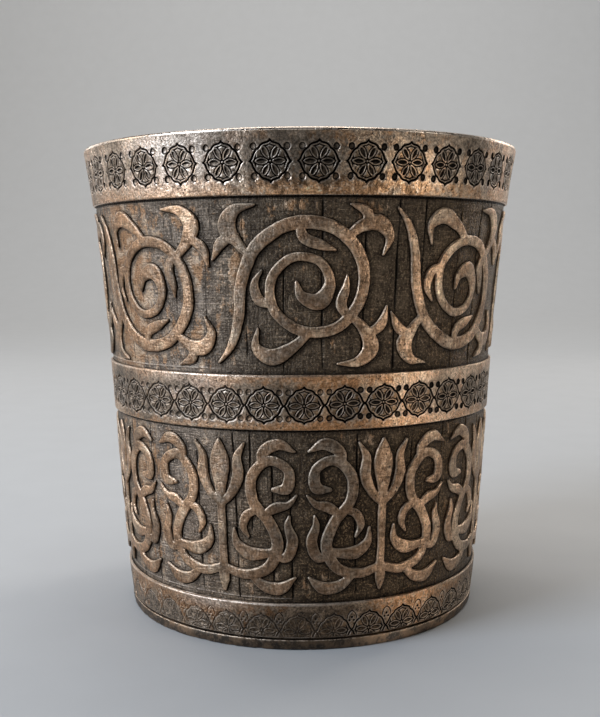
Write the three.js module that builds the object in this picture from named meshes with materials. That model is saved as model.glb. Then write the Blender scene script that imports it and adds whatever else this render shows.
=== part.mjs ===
// Brass tumbler, millimetres, +Z up, origin at the centre of the foot's underside.
//
// A flared sheet wall stands on a low foot ring and holds a let-in floor disc.
// Three plain-edged hoops are soldered round it (rim, waist, base), and the two
// fields between the hoops carry flat cut-out scrollwork soldered to the wall.

import * as THREE from 'three';

// ---------------------------------------------------------------- dimensions
const HEIGHT = 100;             // foot to lip
const SEGMENTS = 48;            // facets round every turned piece

// outer envelope of the hoops, radius as a cubic of t = z / HEIGHT
const FLARE = [38.842, 11.648, -13.853, 11.144];

const RELIEF = 0.6;             // how far hoops and scrollwork stand off the wall
const WALL = 1.2;               // wall sheet
const SOLDER_HOOP = 0.10;       // solder gap under a hoop
const SOLDER_SCROLL = 0.20;     // solder gap under the scrollwork

const FOOT_TOP = 2.1;
const FOOT_INNER = 34.6;
const WALL_FROM = 2.25;
const WALL_TO = 98.4;
const FLOOR_TOP = 3.75;         // inside floor of the cup

const BASE_BAND = [2.55, 9.67];
const WAIST_BAND = [44.24, 54.86];
const RIM_BAND = [88.03, HEIGHT];

const UPPER_FIELD = { from: WAIST_BAND[1], to: RIM_BAND[0], count: 8, turn: 0 };
const LOWER_FIELD = { from: BASE_BAND[1], to: WAIST_BAND[0], count: 8, turn: 22.5 };

const OUTLINE_STEP = 0.22;      // sampling of a scroll's outline
const OUTLINE_TOL = 0.22;       // how closely the faceted outline keeps to it
const MAX_EDGE = 6.0;           // longest edge across a scroll's curved face

// ------------------------------------------------------------------ materials
const finish = (color, roughness, metalness) =>
  new THREE.MeshStandardMaterial({ color, roughness, metalness });
const RUBBED = finish(0x9c7a5c, 0.38, 1.0);     // hoops and scrollwork
const PATINA = finish(0x4a3f36, 0.55, 0.9);     // wall and floor, darkened

// -------------------------------------------------------------------- profile
const band = (z) => {
  const t = z / HEIGHT;
  return FLARE[0] + t * (FLARE[1] + t * (FLARE[2] + t * FLARE[3]));
};
const ground = (z) => band(z) - RELIEF;         // outside of the wall
const inside = (z) => ground(z) - WALL;         // inside of the wall

const tumbler = new THREE.Group();
tumbler.name = 'brass_tumbler';

function addPiece(name, geometry, material) {
  const mesh = new THREE.Mesh(geometry, material);
  mesh.name = name;
  tumbler.add(mesh);
  return mesh;
}

// A turned piece from a closed section, listed anticlockwise in (radius, z).
function turned(section) {
  const pts = section.map(([r, z]) => new THREE.Vector2(r, z));
  const onAxis = section[0][0] === 0;
  if (!onAxis) pts.push(pts[0].clone());
  const geometry = new THREE.LatheGeometry(pts, SEGMENTS);
  geometry.rotateX(Math.PI / 2);                // lathe axis from Y to Z
  return geometry;
}

const steps = (from, to, n) =>
  Array.from({ length: n + 1 }, (_, i) => from + ((to - from) * i) / n);

// ----------------------------------------------------------------- turned work
// wall: open tube of even thickness, following the flare on both sides
{
  const outer = steps(WALL_FROM, WALL_TO, 9).map((z) => [ground(z), z]);
  const inner = steps(WALL_TO, WALL_FROM, 4).map((z) => [inside(z), z]);
  addPiece('wall', turned([...outer, ...inner]), PATINA);
}

// floor disc, let into the wall and carried on the foot ring
{
  const r = inside(WALL_FROM) - 0.12;
  addPiece('base_plate', turned([
    [0, WALL_FROM],
    [r - 0.3, WALL_FROM],
    [r, WALL_FROM + 0.3],
    [r, FLOOR_TOP - 0.2],
    [r - 0.2, FLOOR_TOP],
    [0, FLOOR_TOP],
  ]), PATINA);
}

// foot ring: the flat annulus the cup stands on
addPiece('foot_ring', turned([
  [FOOT_INNER + 0.3, 0],
  [band(0) - 0.7, 0],
  [band(0) - 0.2, 0.3],
  [band(1) + 0.05, 1.1],
  [band(FOOT_TOP) + 0.05, FOOT_TOP - 0.15],
  [band(FOOT_TOP) - 0.1, FOOT_TOP],
  [FOOT_INNER, FOOT_TOP],
  [FOOT_INNER, 0.3],
]), RUBBED);

// a plain hoop with softened outer edges
function hoop([from, to]) {
  const mid = (from + to) / 2;
  const soft = 0.14;
  return turned([
    [ground(from) + SOLDER_HOOP, from],
    [band(from) - soft, from],
    [band(from + soft), from + soft],
    [band(mid), mid],
    [band(to - soft), to - soft],
    [band(to) - soft, to],
    [ground(to) + SOLDER_HOOP, to],
    [ground(mid) + SOLDER_HOOP, mid],
  ]);
}
addPiece('base_band', hoop(BASE_BAND), RUBBED);
addPiece('waist_band', hoop(WAIST_BAND), RUBBED);

// rim hoop: its top is rolled over the edge of the wall into a rounded lip
{
  const [from, to] = RIM_BAND;
  const soft = 0.14;
  const seat = WALL_TO + 0.1;                   // underside of the lip, on the wall's edge
  addPiece('rim_band', turned([
    [ground(from) + SOLDER_HOOP, from],
    [band(from) - soft, from],
    [band(from + soft), from + soft],
    [band(94), 94],
    [band(98.4), 98.4],
    [band(99.4), 99.4],
    [band(to) - 0.2, to - 0.15],
    [band(to) - 0.65, to],
    [band(to) - 1.3, to],
    [band(to) - 1.7, to - 0.25],
    [inside(99.2), 99.2],
    [inside(seat), seat],
    [ground(seat) + SOLDER_HOOP, seat],
    [ground(94) + SOLDER_HOOP, 94],
  ]), RUBBED);
}

// ------------------------------------------------------------------ scrollwork
// Each scroll is a flat plate made of tapering strokes, [x, y, width] along the
// middle of the stroke, x along the wall and y up, from the middle of its bay.
const VINE = [
  // stem, coiling into a volute
  [[-16.2, -14.4, 0.4], [-13.6, -11.2, 1.5], [-11.9, -6.0, 2.0], [-11.2, 0.2, 2.2], [-8.2, 7.2, 2.4],
   [-1.2, 11.6, 2.5], [6.6, 10.4, 2.4], [11.4, 4.6, 2.3], [11.2, -2.6, 2.2], [6.6, -7.8, 2.1],
   [-0.2, -8.2, 2.0], [-5.2, -4.0, 1.9], [-5.2, 1.8, 1.8], [-1.2, 5.4, 1.7], [3.6, 4.4, 1.7],
   [5.4, 0.6, 2.0], [3.4, -2.8, 3.2], [0.2, -1.8, 2.0], [-0.8, 0.8, 0.6]],
  // leaves in the corners of the bay
  [[-9.4, 5.6, 1.2], [-11.6, 8.2, 2.0], [-13.4, 11.0, 3.4], [-12.0, 13.9, 2.2], [-8.2, 15.0, 0.4]],
  [[-12.4, 9.4, 1.6], [-14.8, 8.0, 2.0], [-16.6, 5.0, 0.4]],
  [[8.6, 9.2, 1.4], [11.4, 11.2, 2.3], [14.6, 11.6, 3.0], [16.6, 9.0, 1.8], [15.4, 5.8, 0.4]],
  [[12.4, 11.2, 1.6], [12.0, 13.6, 2.0], [9.0, 15.0, 0.4]],
  [[9.6, -5.6, 1.3], [12.2, -8.2, 2.2], [13.6, -11.6, 3.3], [11.2, -14.2, 2.0], [7.0, -14.6, 0.4]],
  [[12.9, -9.2, 1.6], [15.6, -7.2, 2.0], [16.7, -3.8, 0.4]],
  [[1.6, -8.6, 1.4], [-1.4, -11.2, 2.1], [-5.6, -13.2, 3.1], [-8.6, -11.4, 1.8], [-8.2, -7.8, 0.4]],
  // leaves inside the coil
  [[-0.2, 11.4, 1.4], [0.6, 9.0, 2.1], [3.6, 7.6, 1.9], [6.4, 6.6, 0.4]],
  [[8.9, -5.9, 1.2], [7.6, -3.4, 2.1], [8.4, -0.4, 1.6], [8.6, 2.0, 0.4]],
  [[-5.4, -3.6, 1.2], [-7.9, -2.4, 2.0], [-8.6, 0.4, 1.5], [-7.2, 3.0, 0.4]],
];
const PALMETTE_STEM = [
  [[0, -15.2, 0.6], [0, -12.6, 2.2], [0, -9.0, 1.7], [0, -2.0, 1.7], [0, 4.2, 1.9], [0, 7.6, 3.0],
   [0, 10.6, 4.0], [0, 13.2, 2.4], [0, 15.3, 0.4]],
];
const PALMETTE_SIDE = [
  // side stem, opening into an outward volute
  [[0, -10.4, 1.6], [4.4, -11.6, 2.0], [9.2, -10.0, 2.2], [11.2, -5.4, 2.3], [9.6, -0.8, 2.2],
   [6.6, 3.2, 2.1], [6.4, 8.0, 2.1], [9.8, 11.4, 2.0], [13.3, 9.6, 1.9], [13.1, 6.0, 2.3], [10.6, 5.6, 0.9]],
  // leaf beside the bud, and the leaves along the side stem
  [[0, 2.2, 1.3], [2.2, 4.6, 1.8], [3.7, 8.2, 2.3], [3.6, 11.8, 1.6], [5.0, 14.6, 0.5]],
  [[10.8, -6.6, 1.3], [8.6, -7.2, 1.9], [5.4, -7.2, 2.7], [2.9, -5.2, 1.7], [2.6, -2.4, 0.5]],
  [[5.6, -11.6, 1.3], [8.4, -13.8, 2.2], [11.6, -14.2, 2.5], [14.6, -12.0, 0.5]],
  [[10.7, -7.6, 1.2], [12.8, -7.9, 2.0], [14.1, -4.8, 2.2], [13.2, -1.4, 1.4], [13.5, 0.4, 0.5]],
  [[8.6, 0.6, 1.3], [11.0, 2.1, 2.1], [13.2, 2.7, 1.4], [14.9, 4.5, 0.5]],
  [[7.6, 1.6, 1.2], [5.4, 0.6, 1.8], [4.4, -1.8, 1.5], [5.4, -4.0, 0.5]],
  [[8.2, 10.6, 1.2], [8.6, 12.8, 2.0], [11.4, 14.6, 2.3], [14.6, 13.2, 0.5]],
];

const flipX = (strokes) => strokes.map((s) => s.map(([x, y, w]) => [-x, y, w]));
const flipY = (strokes) => strokes.map((s) => s.map(([x, y, w]) => [x, -y, w]));
const PALMETTE = [...PALMETTE_STEM, ...PALMETTE_SIDE, ...flipX(PALMETTE_SIDE)];

// centripetal Catmull-Rom through [x, y, w], n steps to each span
function smooth(stroke, n = 8) {
  const mix = (a, b, ta, tb, t) => a.map((v, i) => ((tb - t) * v + (t - ta) * b[i]) / (tb - ta));
  const ext = (a, b) => a.map((v, i) => 2 * v - b[i]);
  const q = [ext(stroke[0], stroke[1]), ...stroke, ext(stroke.at(-1), stroke.at(-2))];
  const out = [];
  for (let i = 1; i < q.length - 2; i++) {
    const [p0, p1, p2, p3] = [q[i - 1], q[i], q[i + 1], q[i + 2]];
    const gap = (a, b) => Math.sqrt(Math.max(Math.hypot(b[0] - a[0], b[1] - a[1]), 1e-6));
    const t0 = 0, t1 = gap(p0, p1), t2 = t1 + gap(p1, p2), t3 = t2 + gap(p2, p3);
    for (let k = 0; k < n; k++) {
      const t = t1 + ((t2 - t1) * k) / n;
      const a1 = mix(p0, p1, t0, t1, t), a2 = mix(p1, p2, t1, t2, t), a3 = mix(p2, p3, t2, t3, t);
      const b1 = mix(a1, a2, t0, t2, t), b2 = mix(a2, a3, t1, t3, t);
      out.push(mix(b1, b2, t1, t2, t));
    }
  }
  out.push(stroke.at(-1));
  return out;
}

// signed distance to a set of strokes, negative inside the metal
function distanceTo(strokes) {
  const spans = [];
  for (const s of strokes) {
    const c = smooth(s);
    for (let i = 0; i + 1 < c.length; i++) spans.push([c[i], c[i + 1]]);
  }
  return (x, y) => {
    let best = 1e9;
    for (const [a, b] of spans) {
      const dx = b[0] - a[0], dy = b[1] - a[1];
      const t = Math.min(1, Math.max(0, ((x - a[0]) * dx + (y - a[1]) * dy) / (dx * dx + dy * dy)));
      const d = Math.hypot(x - a[0] - t * dx, y - a[1] - t * dy) - (a[2] + t * (b[2] - a[2])) / 2;
      if (d < best) best = d;
    }
    return best;
  };
}

// closed outlines of the zero level, by marching the cells of a square grid
function outlines(field, half) {
  const n = Math.ceil((2 * half) / OUTLINE_STEP);
  const at = (i) => -half + i * OUTLINE_STEP;
  const v = [];
  for (let j = 0; j <= n; j++) for (let i = 0; i <= n; i++) v.push(field(at(i), at(j)) || 1e-9);
  const V = (i, j) => v[j * (n + 1) + i];
  const next = new Map(), where = new Map();
  const cross = (i, j, k, l) => {                // key and point of a crossed cell edge
    const key = i < k || j < l ? `${i},${j},${k},${l}` : `${k},${l},${i},${j}`;
    if (!where.has(key)) {
      const t = V(i, j) / (V(i, j) - V(k, l));
      where.set(key, [at(i) + t * (k - i) * OUTLINE_STEP, at(j) + t * (l - j) * OUTLINE_STEP]);
    }
    return key;
  };
  for (let j = 0; j < n; j++) for (let i = 0; i < n; i++) {
    const ring = [[i, j], [i + 1, j], [i + 1, j + 1], [i, j + 1]];
    const hits = [];
    for (let e = 0; e < 4; e++) {
      const [a, b] = [ring[e], ring[(e + 1) % 4]];
      const va = V(...a), vb = V(...b);
      if ((va < 0) !== (vb < 0)) hits.push({ key: cross(...a, ...b), out: va < 0 });
    }
    if (hits.length === 2) {
      // metal stays on the left: leave by the edge that goes from metal to air
      const [p, q] = hits[0].out ? [hits[0], hits[1]] : [hits[1], hits[0]];
      next.set(p.key, q.key);
    } else if (hits.length === 4) {
      for (let e = 0; e < 4; e++) if (hits[e].out) next.set(hits[e].key, hits[(e + 3) % 4].key);
    }
  }
  const loops = [];
  while (next.size) {
    const start = next.keys().next().value;
    const loop = [];
    for (let k = start; next.has(k);) {
      loop.push(where.get(k));
      const to = next.get(k);
      next.delete(k);
      k = to;
    }
    loops.push(loop);
  }
  return loops;
}

// keep only the points that a closed outline needs to stay within tol
function simplify(loop, tol) {
  const far = (a, b, c) => {
    const dx = b[0] - a[0], dy = b[1] - a[1], l = Math.hypot(dx, dy);
    if (l < 1e-9) return Math.hypot(c[0] - a[0], c[1] - a[1]);
    const t = Math.min(1, Math.max(0, ((c[0] - a[0]) * dx + (c[1] - a[1]) * dy) / (l * l)));
    return Math.hypot(c[0] - a[0] - t * dx, c[1] - a[1] - t * dy);
  };
  const reduce = (from, to) => {
    let worst = 0, at = -1;
    for (let i = from + 1; i < to; i++) {
      const d = far(ring[from], ring[to], ring[i]);
      if (d > worst) { worst = d; at = i; }
    }
    return worst > tol ? [...reduce(from, at), ...reduce(at, to)] : [ring[from]];
  };
  let apart = 0, opposite = 0;
  loop.forEach((p, i) => {
    const d = Math.hypot(p[0] - loop[0][0], p[1] - loop[0][1]);
    if (d > apart) { apart = d; opposite = i; }
  });
  const ring = [...loop, loop[0]];
  return [...reduce(0, opposite), ...reduce(opposite, loop.length)];
}

const area = (loop) => loop.reduce((s, p, i) => {
  const q = loop[(i + 1) % loop.length];
  return s + (p[0] * q[1] - q[0] * p[1]) / 2;
}, 0);

// a flat plate with its triangles cut down to MAX_EDGE, so that it can be bent
function plate(strokes, half = 18) {
  const loops = outlines(distanceTo(strokes), half).map((l) => simplify(l, OUTLINE_TOL));
  const outer = loops.filter((l) => area(l) > 0.5);
  const holes = loops.filter((l) => area(l) < -0.05);
  if (outer.length !== 1) throw new Error(`a scroll is ${outer.length} pieces`);
  const vec = (l) => l.map(([x, y]) => new THREE.Vector2(x, y));
  const shape = new THREE.Shape(vec(outer[0]));
  shape.holes = holes.map((h) => new THREE.Path(vec(h)));
  const points = [...outer[0], ...holes.flat()].map(([x, y]) => [x, y]);
  let tris = THREE.ShapeUtils.triangulateShape(vec(outer[0]), holes.map(vec));
  for (;;) {
    const split = new Map();
    const key = (a, b) => (a < b ? `${a},${b}` : `${b},${a}`);
    const len = (a, b) => Math.abs(points[a][0] - points[b][0]) + 0.25 * Math.abs(points[a][1] - points[b][1]);
    for (const t of tris) {
      const e = [[t[0], t[1]], [t[1], t[2]], [t[2], t[0]]].sort((p, q) => len(...q) - len(...p))[0];
      if (len(...e) > MAX_EDGE && !split.has(key(...e))) {
        split.set(key(...e), points.length);
        points.push([(points[e[0]][0] + points[e[1]][0]) / 2, (points[e[0]][1] + points[e[1]][1]) / 2]);
      }
    }
    if (!split.size) break;
    tris = tris.flatMap(([a, b, c]) => {
      const ab = split.get(key(a, b)), bc = split.get(key(b, c)), ca = split.get(key(c, a));
      const n = [ab, bc, ca].filter((m) => m !== undefined).length;
      if (n === 0) return [[a, b, c]];
      if (n === 3) return [[a, ab, ca], [ab, b, bc], [ca, bc, c], [ab, bc, ca]];
      if (n === 1) {
        if (ab !== undefined) return [[a, ab, c], [ab, b, c]];
        if (bc !== undefined) return [[a, b, bc], [a, bc, c]];
        return [[a, b, ca], [ca, b, c]];
      }
      if (ab === undefined) return [[a, b, bc], [a, bc, ca], [ca, bc, c]];
      if (bc === undefined) return [[a, ab, ca], [ab, b, c], [ab, c, ca]];
      return [[ab, b, bc], [a, ab, bc], [a, bc, c]];
    });
  }
  return { points, tris };
}

// Bend a plate round the wall: x becomes an angle, y a height, both faces follow
// the flare, and the cut edge stands square to the wall.
function applied({ points, tris }, field, turn) {
  const mid = (field.from + field.to) / 2;
  const perMm = 1 / ground(mid);
  const place = ([x, y], off) => {
    const z = mid + y, r = ground(z) + off, a = turn + x * perMm;
    return [r * Math.sin(a), -r * Math.cos(a), z];
  };
  const n = points.length;
  const position = [...points.flatMap((p) => place(p, SOLDER_SCROLL)), ...points.flatMap((p) => place(p, RELIEF))];
  const index = [];
  const edges = new Map();
  for (const [a, b, c] of tris) {
    index.push(n + a, n + b, n + c, a, c, b);
    for (const [p, q] of [[a, b], [b, c], [c, a]]) {
      if (edges.has(`${q},${p}`)) edges.delete(`${q},${p}`);
      else edges.set(`${p},${q}`, [p, q]);
    }
  }
  for (const [p, q] of edges.values()) index.push(p, q, n + q, p, n + q, n + p);
  const geometry = new THREE.BufferGeometry();
  geometry.setAttribute('position', new THREE.Float32BufferAttribute(position, 3));
  geometry.setIndex(index);
  geometry.computeVertexNormals();
  return geometry;
}

const bay = (field, k) => ((field.turn + (360 / field.count) * k) * Math.PI) / 180;

const vineUp = plate(VINE), vineDown = plate(flipY(VINE)), palmette = plate(PALMETTE);
for (let k = 0; k < UPPER_FIELD.count; k++) {
  const flat = k % 2 ? vineDown : vineUp;       // every second vine hangs from the top
  addPiece(`vine_scroll_${k + 1}`, applied(flat, UPPER_FIELD, bay(UPPER_FIELD, k)), RUBBED);
}
for (let k = 0; k < LOWER_FIELD.count; k++) {
  addPiece(`palmette_${k + 1}`, applied(palmette, LOWER_FIELD, bay(LOWER_FIELD, k)), RUBBED);
}

export default tumbler;
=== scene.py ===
"""A brass tumbler with a copper-brown patina: engraved hoops, cut-out scrollwork, a chased dark ground."""

import bpy
import math
import numpy as np
from mathutils import Matrix, Vector
from mathutils.geometry import delaunay_2d_cdt


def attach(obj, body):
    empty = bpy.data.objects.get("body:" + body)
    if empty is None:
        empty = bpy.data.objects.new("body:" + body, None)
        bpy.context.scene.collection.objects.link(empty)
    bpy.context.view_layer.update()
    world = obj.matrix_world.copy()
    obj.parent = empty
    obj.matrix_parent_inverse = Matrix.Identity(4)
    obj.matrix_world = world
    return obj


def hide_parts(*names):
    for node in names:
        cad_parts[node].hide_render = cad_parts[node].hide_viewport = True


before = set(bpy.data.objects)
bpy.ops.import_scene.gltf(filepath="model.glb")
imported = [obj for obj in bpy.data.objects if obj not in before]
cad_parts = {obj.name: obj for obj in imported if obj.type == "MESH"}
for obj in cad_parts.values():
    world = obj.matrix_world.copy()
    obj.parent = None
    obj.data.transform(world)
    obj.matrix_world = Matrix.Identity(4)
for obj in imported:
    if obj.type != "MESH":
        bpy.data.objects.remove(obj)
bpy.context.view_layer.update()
MM = 0.001

# ------------------------------------------------------------------ dimensions, mm
HEIGHT = 100.0
RELIEF = 0.6
WALL = 1.2
FOOT_TOP = 2.1
FOOT_INNER = 34.6
WALL_FROM, WALL_TO = 2.25, 98.4
FLOOR_TOP = 3.75
BASE_BAND = (2.55, 9.67)
WAIST_BAND = (44.24, 54.86)
RIM_BAND = (88.03, 100.0)
FLARE = (38.842, 11.648, -13.853, 11.144)
ROSETTES = 34


def band(z):
    t = np.asarray(z, float) / HEIGHT
    return FLARE[0] + t * (FLARE[1] + t * (FLARE[2] + t * FLARE[3]))


def ground(z):
    return band(z) - RELIEF


def inside(z):
    return ground(z) - WALL


# ------------------------------------------------------------------ noise
def _lattice(i, j, k, seed):
    h = (i.astype(np.int64) * 374761393 + j.astype(np.int64) * 668265263 + k.astype(np.int64) * 974634777 + seed * 1442695041) & 0xFFFFFFFF
    h = ((h ^ (h >> 13)) * 1274126177) & 0xFFFFFFFF
    h = h ^ (h >> 16)
    return (h & 0xFFFFFF) / float(0xFFFFFF) * 2 - 1


def noise(p, size, seed):
    """Smooth noise in -1..1 at points p (n, 3), with lumps about `size` across."""
    q = np.asarray(p, float) / size + 500.0
    i = np.floor(q)
    f = q - i
    f = f * f * f * (f * (6 * f - 15) + 10)
    i = i.astype(np.int64)
    out = 0
    for dx in (0, 1):
        wx = f[:, 0] if dx else 1 - f[:, 0]
        for dy in (0, 1):
            wy = f[:, 1] if dy else 1 - f[:, 1]
            for dz in (0, 1):
                wz = f[:, 2] if dz else 1 - f[:, 2]
                out = out + wx * wy * wz * _lattice(i[:, 0] + dx, i[:, 1] + dy, i[:, 2] + dz, seed)
    return out


def fbm(p, size, seed, octaves=3):
    return sum(noise(p, size / 2**o, seed + 7 * o) * 0.5**o for o in range(octaves))


def smooth(a, b, x):
    t = np.clip((x - a) / (b - a), 0, 1)
    return t * t * (3 - 2 * t)


def on_wall(theta, r, z):
    """Ring coordinates to x, y, z. theta is 0 at the front (-Y) and grows towards +X."""
    return np.stack([r * np.sin(theta), -r * np.cos(theta), z + 0 * r], -1)


# ------------------------------------------------------------------ outlines of a field
SEGMENTS = {
    1: ((3, 0),), 2: ((0, 1),), 3: ((3, 1),), 4: ((1, 2),), 5: ((3, 0), (1, 2)), 6: ((0, 2),), 7: ((3, 2),),
    8: ((2, 3),), 9: ((2, 0),), 10: ((0, 1), (2, 3)), 11: ((2, 1),), 12: ((1, 3),), 13: ((1, 0),), 14: ((0, 3),),
}


def outlines(F, level, x0, y0, hx, hy):
    """Lines along which the grid F crosses level: a list of (points, closed)."""
    ny, nx = F.shape
    up = F > level
    code = up[:-1, :-1] + 2 * up[:-1, 1:] + 4 * up[1:, 1:] + 8 * up[1:, :-1]
    turn = ny * nx
    after = {}
    for c, segs in SEGMENTS.items():
        i, j = np.nonzero(code == c)
        ids = (i * nx + j, turn + i * nx + j + 1, (i + 1) * nx + j, turn + i * nx + j)
        for a, b in segs:
            after.update(zip(ids[a].tolist(), ids[b].tolist()))

    def place(e):
        if e < turn:
            i, j = divmod(e, nx)
            a, b = F[i, j], F[i, j + 1]
            return x0 + (j + (level - a) / (b - a)) * hx, y0 + i * hy
        i, j = divmod(e - turn, nx)
        a, b = F[i, j], F[i + 1, j]
        return x0 + j * hx, y0 + (i + (level - a) / (b - a)) * hy

    found = []
    ends = set(after.values())
    for s in [e for e in after if e not in ends]:
        walk = [s]
        while walk[-1] in after:
            walk.append(after.pop(walk[-1]))
        found.append((np.array([place(e) for e in walk]), False))
    while after:
        s = next(iter(after))
        walk = [s]
        e = after.pop(s)
        while e != s:
            walk.append(e)
            e = after.pop(e)
        found.append((np.array([place(e) for e in walk]), True))
    return found


def evenly(line, closed, step):
    p = np.vstack([line, line[:1]]) if closed else line
    run = np.concatenate([[0], np.cumsum(np.hypot(*np.diff(p, axis=0).T))])
    n = max(int(round(run[-1] / step)), 3 if closed else 1)
    t = np.linspace(0, run[-1], n + 1)
    q = np.stack([np.interp(t, run, p[:, 0]), np.interp(t, run, p[:, 1])], 1)
    return q[:-1] if closed else q


def sample(F, x0, y0, hx, hy, x, y):
    """F between its grid points."""
    u = np.clip((x - x0) / hx, 0, F.shape[1] - 1.001)
    v = np.clip((y - y0) / hy, 0, F.shape[0] - 1.001)
    i, j = v.astype(int), u.astype(int)
    a, b = v - i, u - j
    return (F[i, j] * (1 - a) * (1 - b) + F[i, j + 1] * (1 - a) * b + F[i + 1, j] * a * (1 - b) + F[i + 1, j + 1] * a * b)


def thin_out(points, fixed, gap):
    """The points that lie at least gap from every fixed one."""
    keep = np.ones(len(points), bool)
    for s in range(0, len(points), 400):
        d = points[s : s + 400, None] - fixed[None]
        keep[s : s + 400] = (d**2).sum(-1).min(1) > gap * gap
    return points[keep]


def hexes(x0, x1, y0, y1, step):
    rows = int((y1 - y0) / (step * 0.866)) + 1
    cols = int((x1 - x0) / step) + 2
    j, i = np.meshgrid(np.arange(cols), np.arange(rows))
    return np.stack([x0 + (j + 0.5 * (i % 2)) * step, y0 + i * step * 0.866], -1).reshape(-1, 2)


def triangulate(points, edges):
    """Constrained Delaunay triangles. Points given keep their exact place."""
    got = delaunay_2d_cdt([Vector(p) for p in points.tolist()], edges, [], 0, 1e-6, True)
    verts = np.array([points[ids[0]] if len(ids) else tuple(v) for v, ids in zip(got[0], got[3])])
    return verts, np.array([f for f in got[2]], int)


def to_polygon(P, poly):
    """Signed distance from points P (n, 2) to a closed polygon, negative inside."""
    a, b = poly, np.roll(poly, -1, 0)
    best = np.full(len(P), 1e9)
    odd = np.zeros(len(P), bool)
    for (ax, ay), (bx, by) in zip(a, b):
        ex, ey = bx - ax, by - ay
        wx, wy = P[:, 0] - ax, P[:, 1] - ay
        t = np.clip((wx * ex + wy * ey) / (ex * ex + ey * ey + 1e-12), 0, 1)
        best = np.minimum(best, (wx - ex * t) ** 2 + (wy - ey * t) ** 2)
        if ay != by:
            cross = (ay > P[:, 1]) != (by > P[:, 1])
            odd ^= cross & (P[:, 0] < ex * (P[:, 1] - ay) / (by - ay) + ax)
    d = np.sqrt(best)
    return np.where(odd, -d, d)


# ------------------------------------------------------------------ meshes
def make(name, verts, faces, replaces, floats=None, smooth_angle=38, places=None):
    """One closed piece from arrays: verts in mm, faces as a list of index arrays of equal width."""
    me = bpy.data.meshes.new(name)
    faces = [np.asarray(f, np.int32) for f in faces if len(f)]
    loops = np.concatenate([f.reshape(-1) for f in faces])
    counts = np.concatenate([np.full(len(f), f.shape[1], np.int32) for f in faces])
    starts = np.concatenate([[0], np.cumsum(counts)[:-1]]).astype(np.int32)
    me.vertices.add(len(verts))
    me.vertices.foreach_set("co", (np.asarray(verts, np.float64) * MM).astype(np.float32).reshape(-1))
    me.loops.add(len(loops))
    me.loops.foreach_set("vertex_index", loops)
    me.polygons.add(len(counts))
    me.polygons.foreach_set("loop_start", starts)
    me.update(calc_edges=True)
    me.validate()
    for k, v in (floats or {}).items():
        at = me.attributes.new(k, "FLOAT", "POINT")
        at.data.foreach_set("value", np.asarray(v, np.float32))
    if places is not None:
        uv = me.uv_layers.new(name="OFBake")
        uv.data.foreach_set("uv", np.asarray(places, np.float32).reshape(-1))
    me.polygons.foreach_set("use_smooth", np.ones(len(me.polygons), bool))
    me.set_sharp_from_angle(angle=math.radians(smooth_angle))
    ob = bpy.data.objects.new(name, me)
    bpy.context.scene.collection.objects.link(ob)
    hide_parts(*replaces)
    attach(ob, "root")
    return ob


# ------------------------------------------------------------------ the rosette, in mm about its centre
def catmull(points, n):
    p = np.asarray(points, float)
    q = np.vstack([2 * p[0] - p[1], p, 2 * p[-1] - p[-2]])
    out = []
    for i in range(1, len(q) - 2):
        p0, p1, p2, p3 = q[i - 1 : i + 3]
        t0 = 0.0
        t1 = t0 + max(math.hypot(*(p1 - p0)[:2]), 1e-6) ** 0.5
        t2 = t1 + max(math.hypot(*(p2 - p1)[:2]), 1e-6) ** 0.5
        t3 = t2 + max(math.hypot(*(p3 - p2)[:2]), 1e-6) ** 0.5
        for k in range(n):
            t = t1 + (t2 - t1) * k / n
            a1 = (t1 - t) / (t1 - t0) * p0 + (t - t0) / (t1 - t0) * p1
            a2 = (t2 - t) / (t2 - t1) * p1 + (t - t1) / (t2 - t1) * p2
            a3 = (t3 - t) / (t3 - t2) * p2 + (t - t2) / (t3 - t2) * p3
            b1 = (t2 - t) / (t2 - t0) * a1 + (t - t0) / (t2 - t0) * a2
            b2 = (t3 - t) / (t3 - t1) * a2 + (t - t1) / (t3 - t1) * a3
            out.append((t2 - t) / (t2 - t1) * b1 + (t - t1) / (t2 - t1) * b2)
    out.append(p[-1])
    return np.array(out)


QUARTER = [(0, 3.86), (0.13, 3.66), (0.30, 3.49), (0.58, 3.36), (1.00, 3.26), (1.40, 3.13), (1.72, 2.92), (1.95, 2.64), (2.08, 2.40),
           (2.38, 2.22), (2.68, 1.97), (2.93, 1.64), (3.12, 1.28), (3.28, 0.93), (3.40, 0.62), (3.54, 0.36), (3.70, 0.17), (3.90, 0)]


def petal(r0, r1, half, degrees, blunt):
    t = np.linspace(0, 1, 24)
    w = half * np.maximum(4 * t * (1 - t), 0) ** 0.8 * (1 + blunt * (t - 0.5))
    if blunt > 0.3:
        w = np.maximum(w, half * 0.9 * np.sqrt(np.clip(1 - ((t - 0.72) / 0.28) ** 2, 0, 1)) * (t > 0.72))
    x = r0 + (r1 - r0) * t
    a = math.radians(degrees)
    ring = np.concatenate([np.stack([x, w], 1), np.stack([x, -w], 1)[-2:0:-1]])
    return np.stack([ring[:, 0] * math.cos(a) - ring[:, 1] * math.sin(a), ring[:, 0] * math.sin(a) + ring[:, 1] * math.cos(a)], 1)


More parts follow.
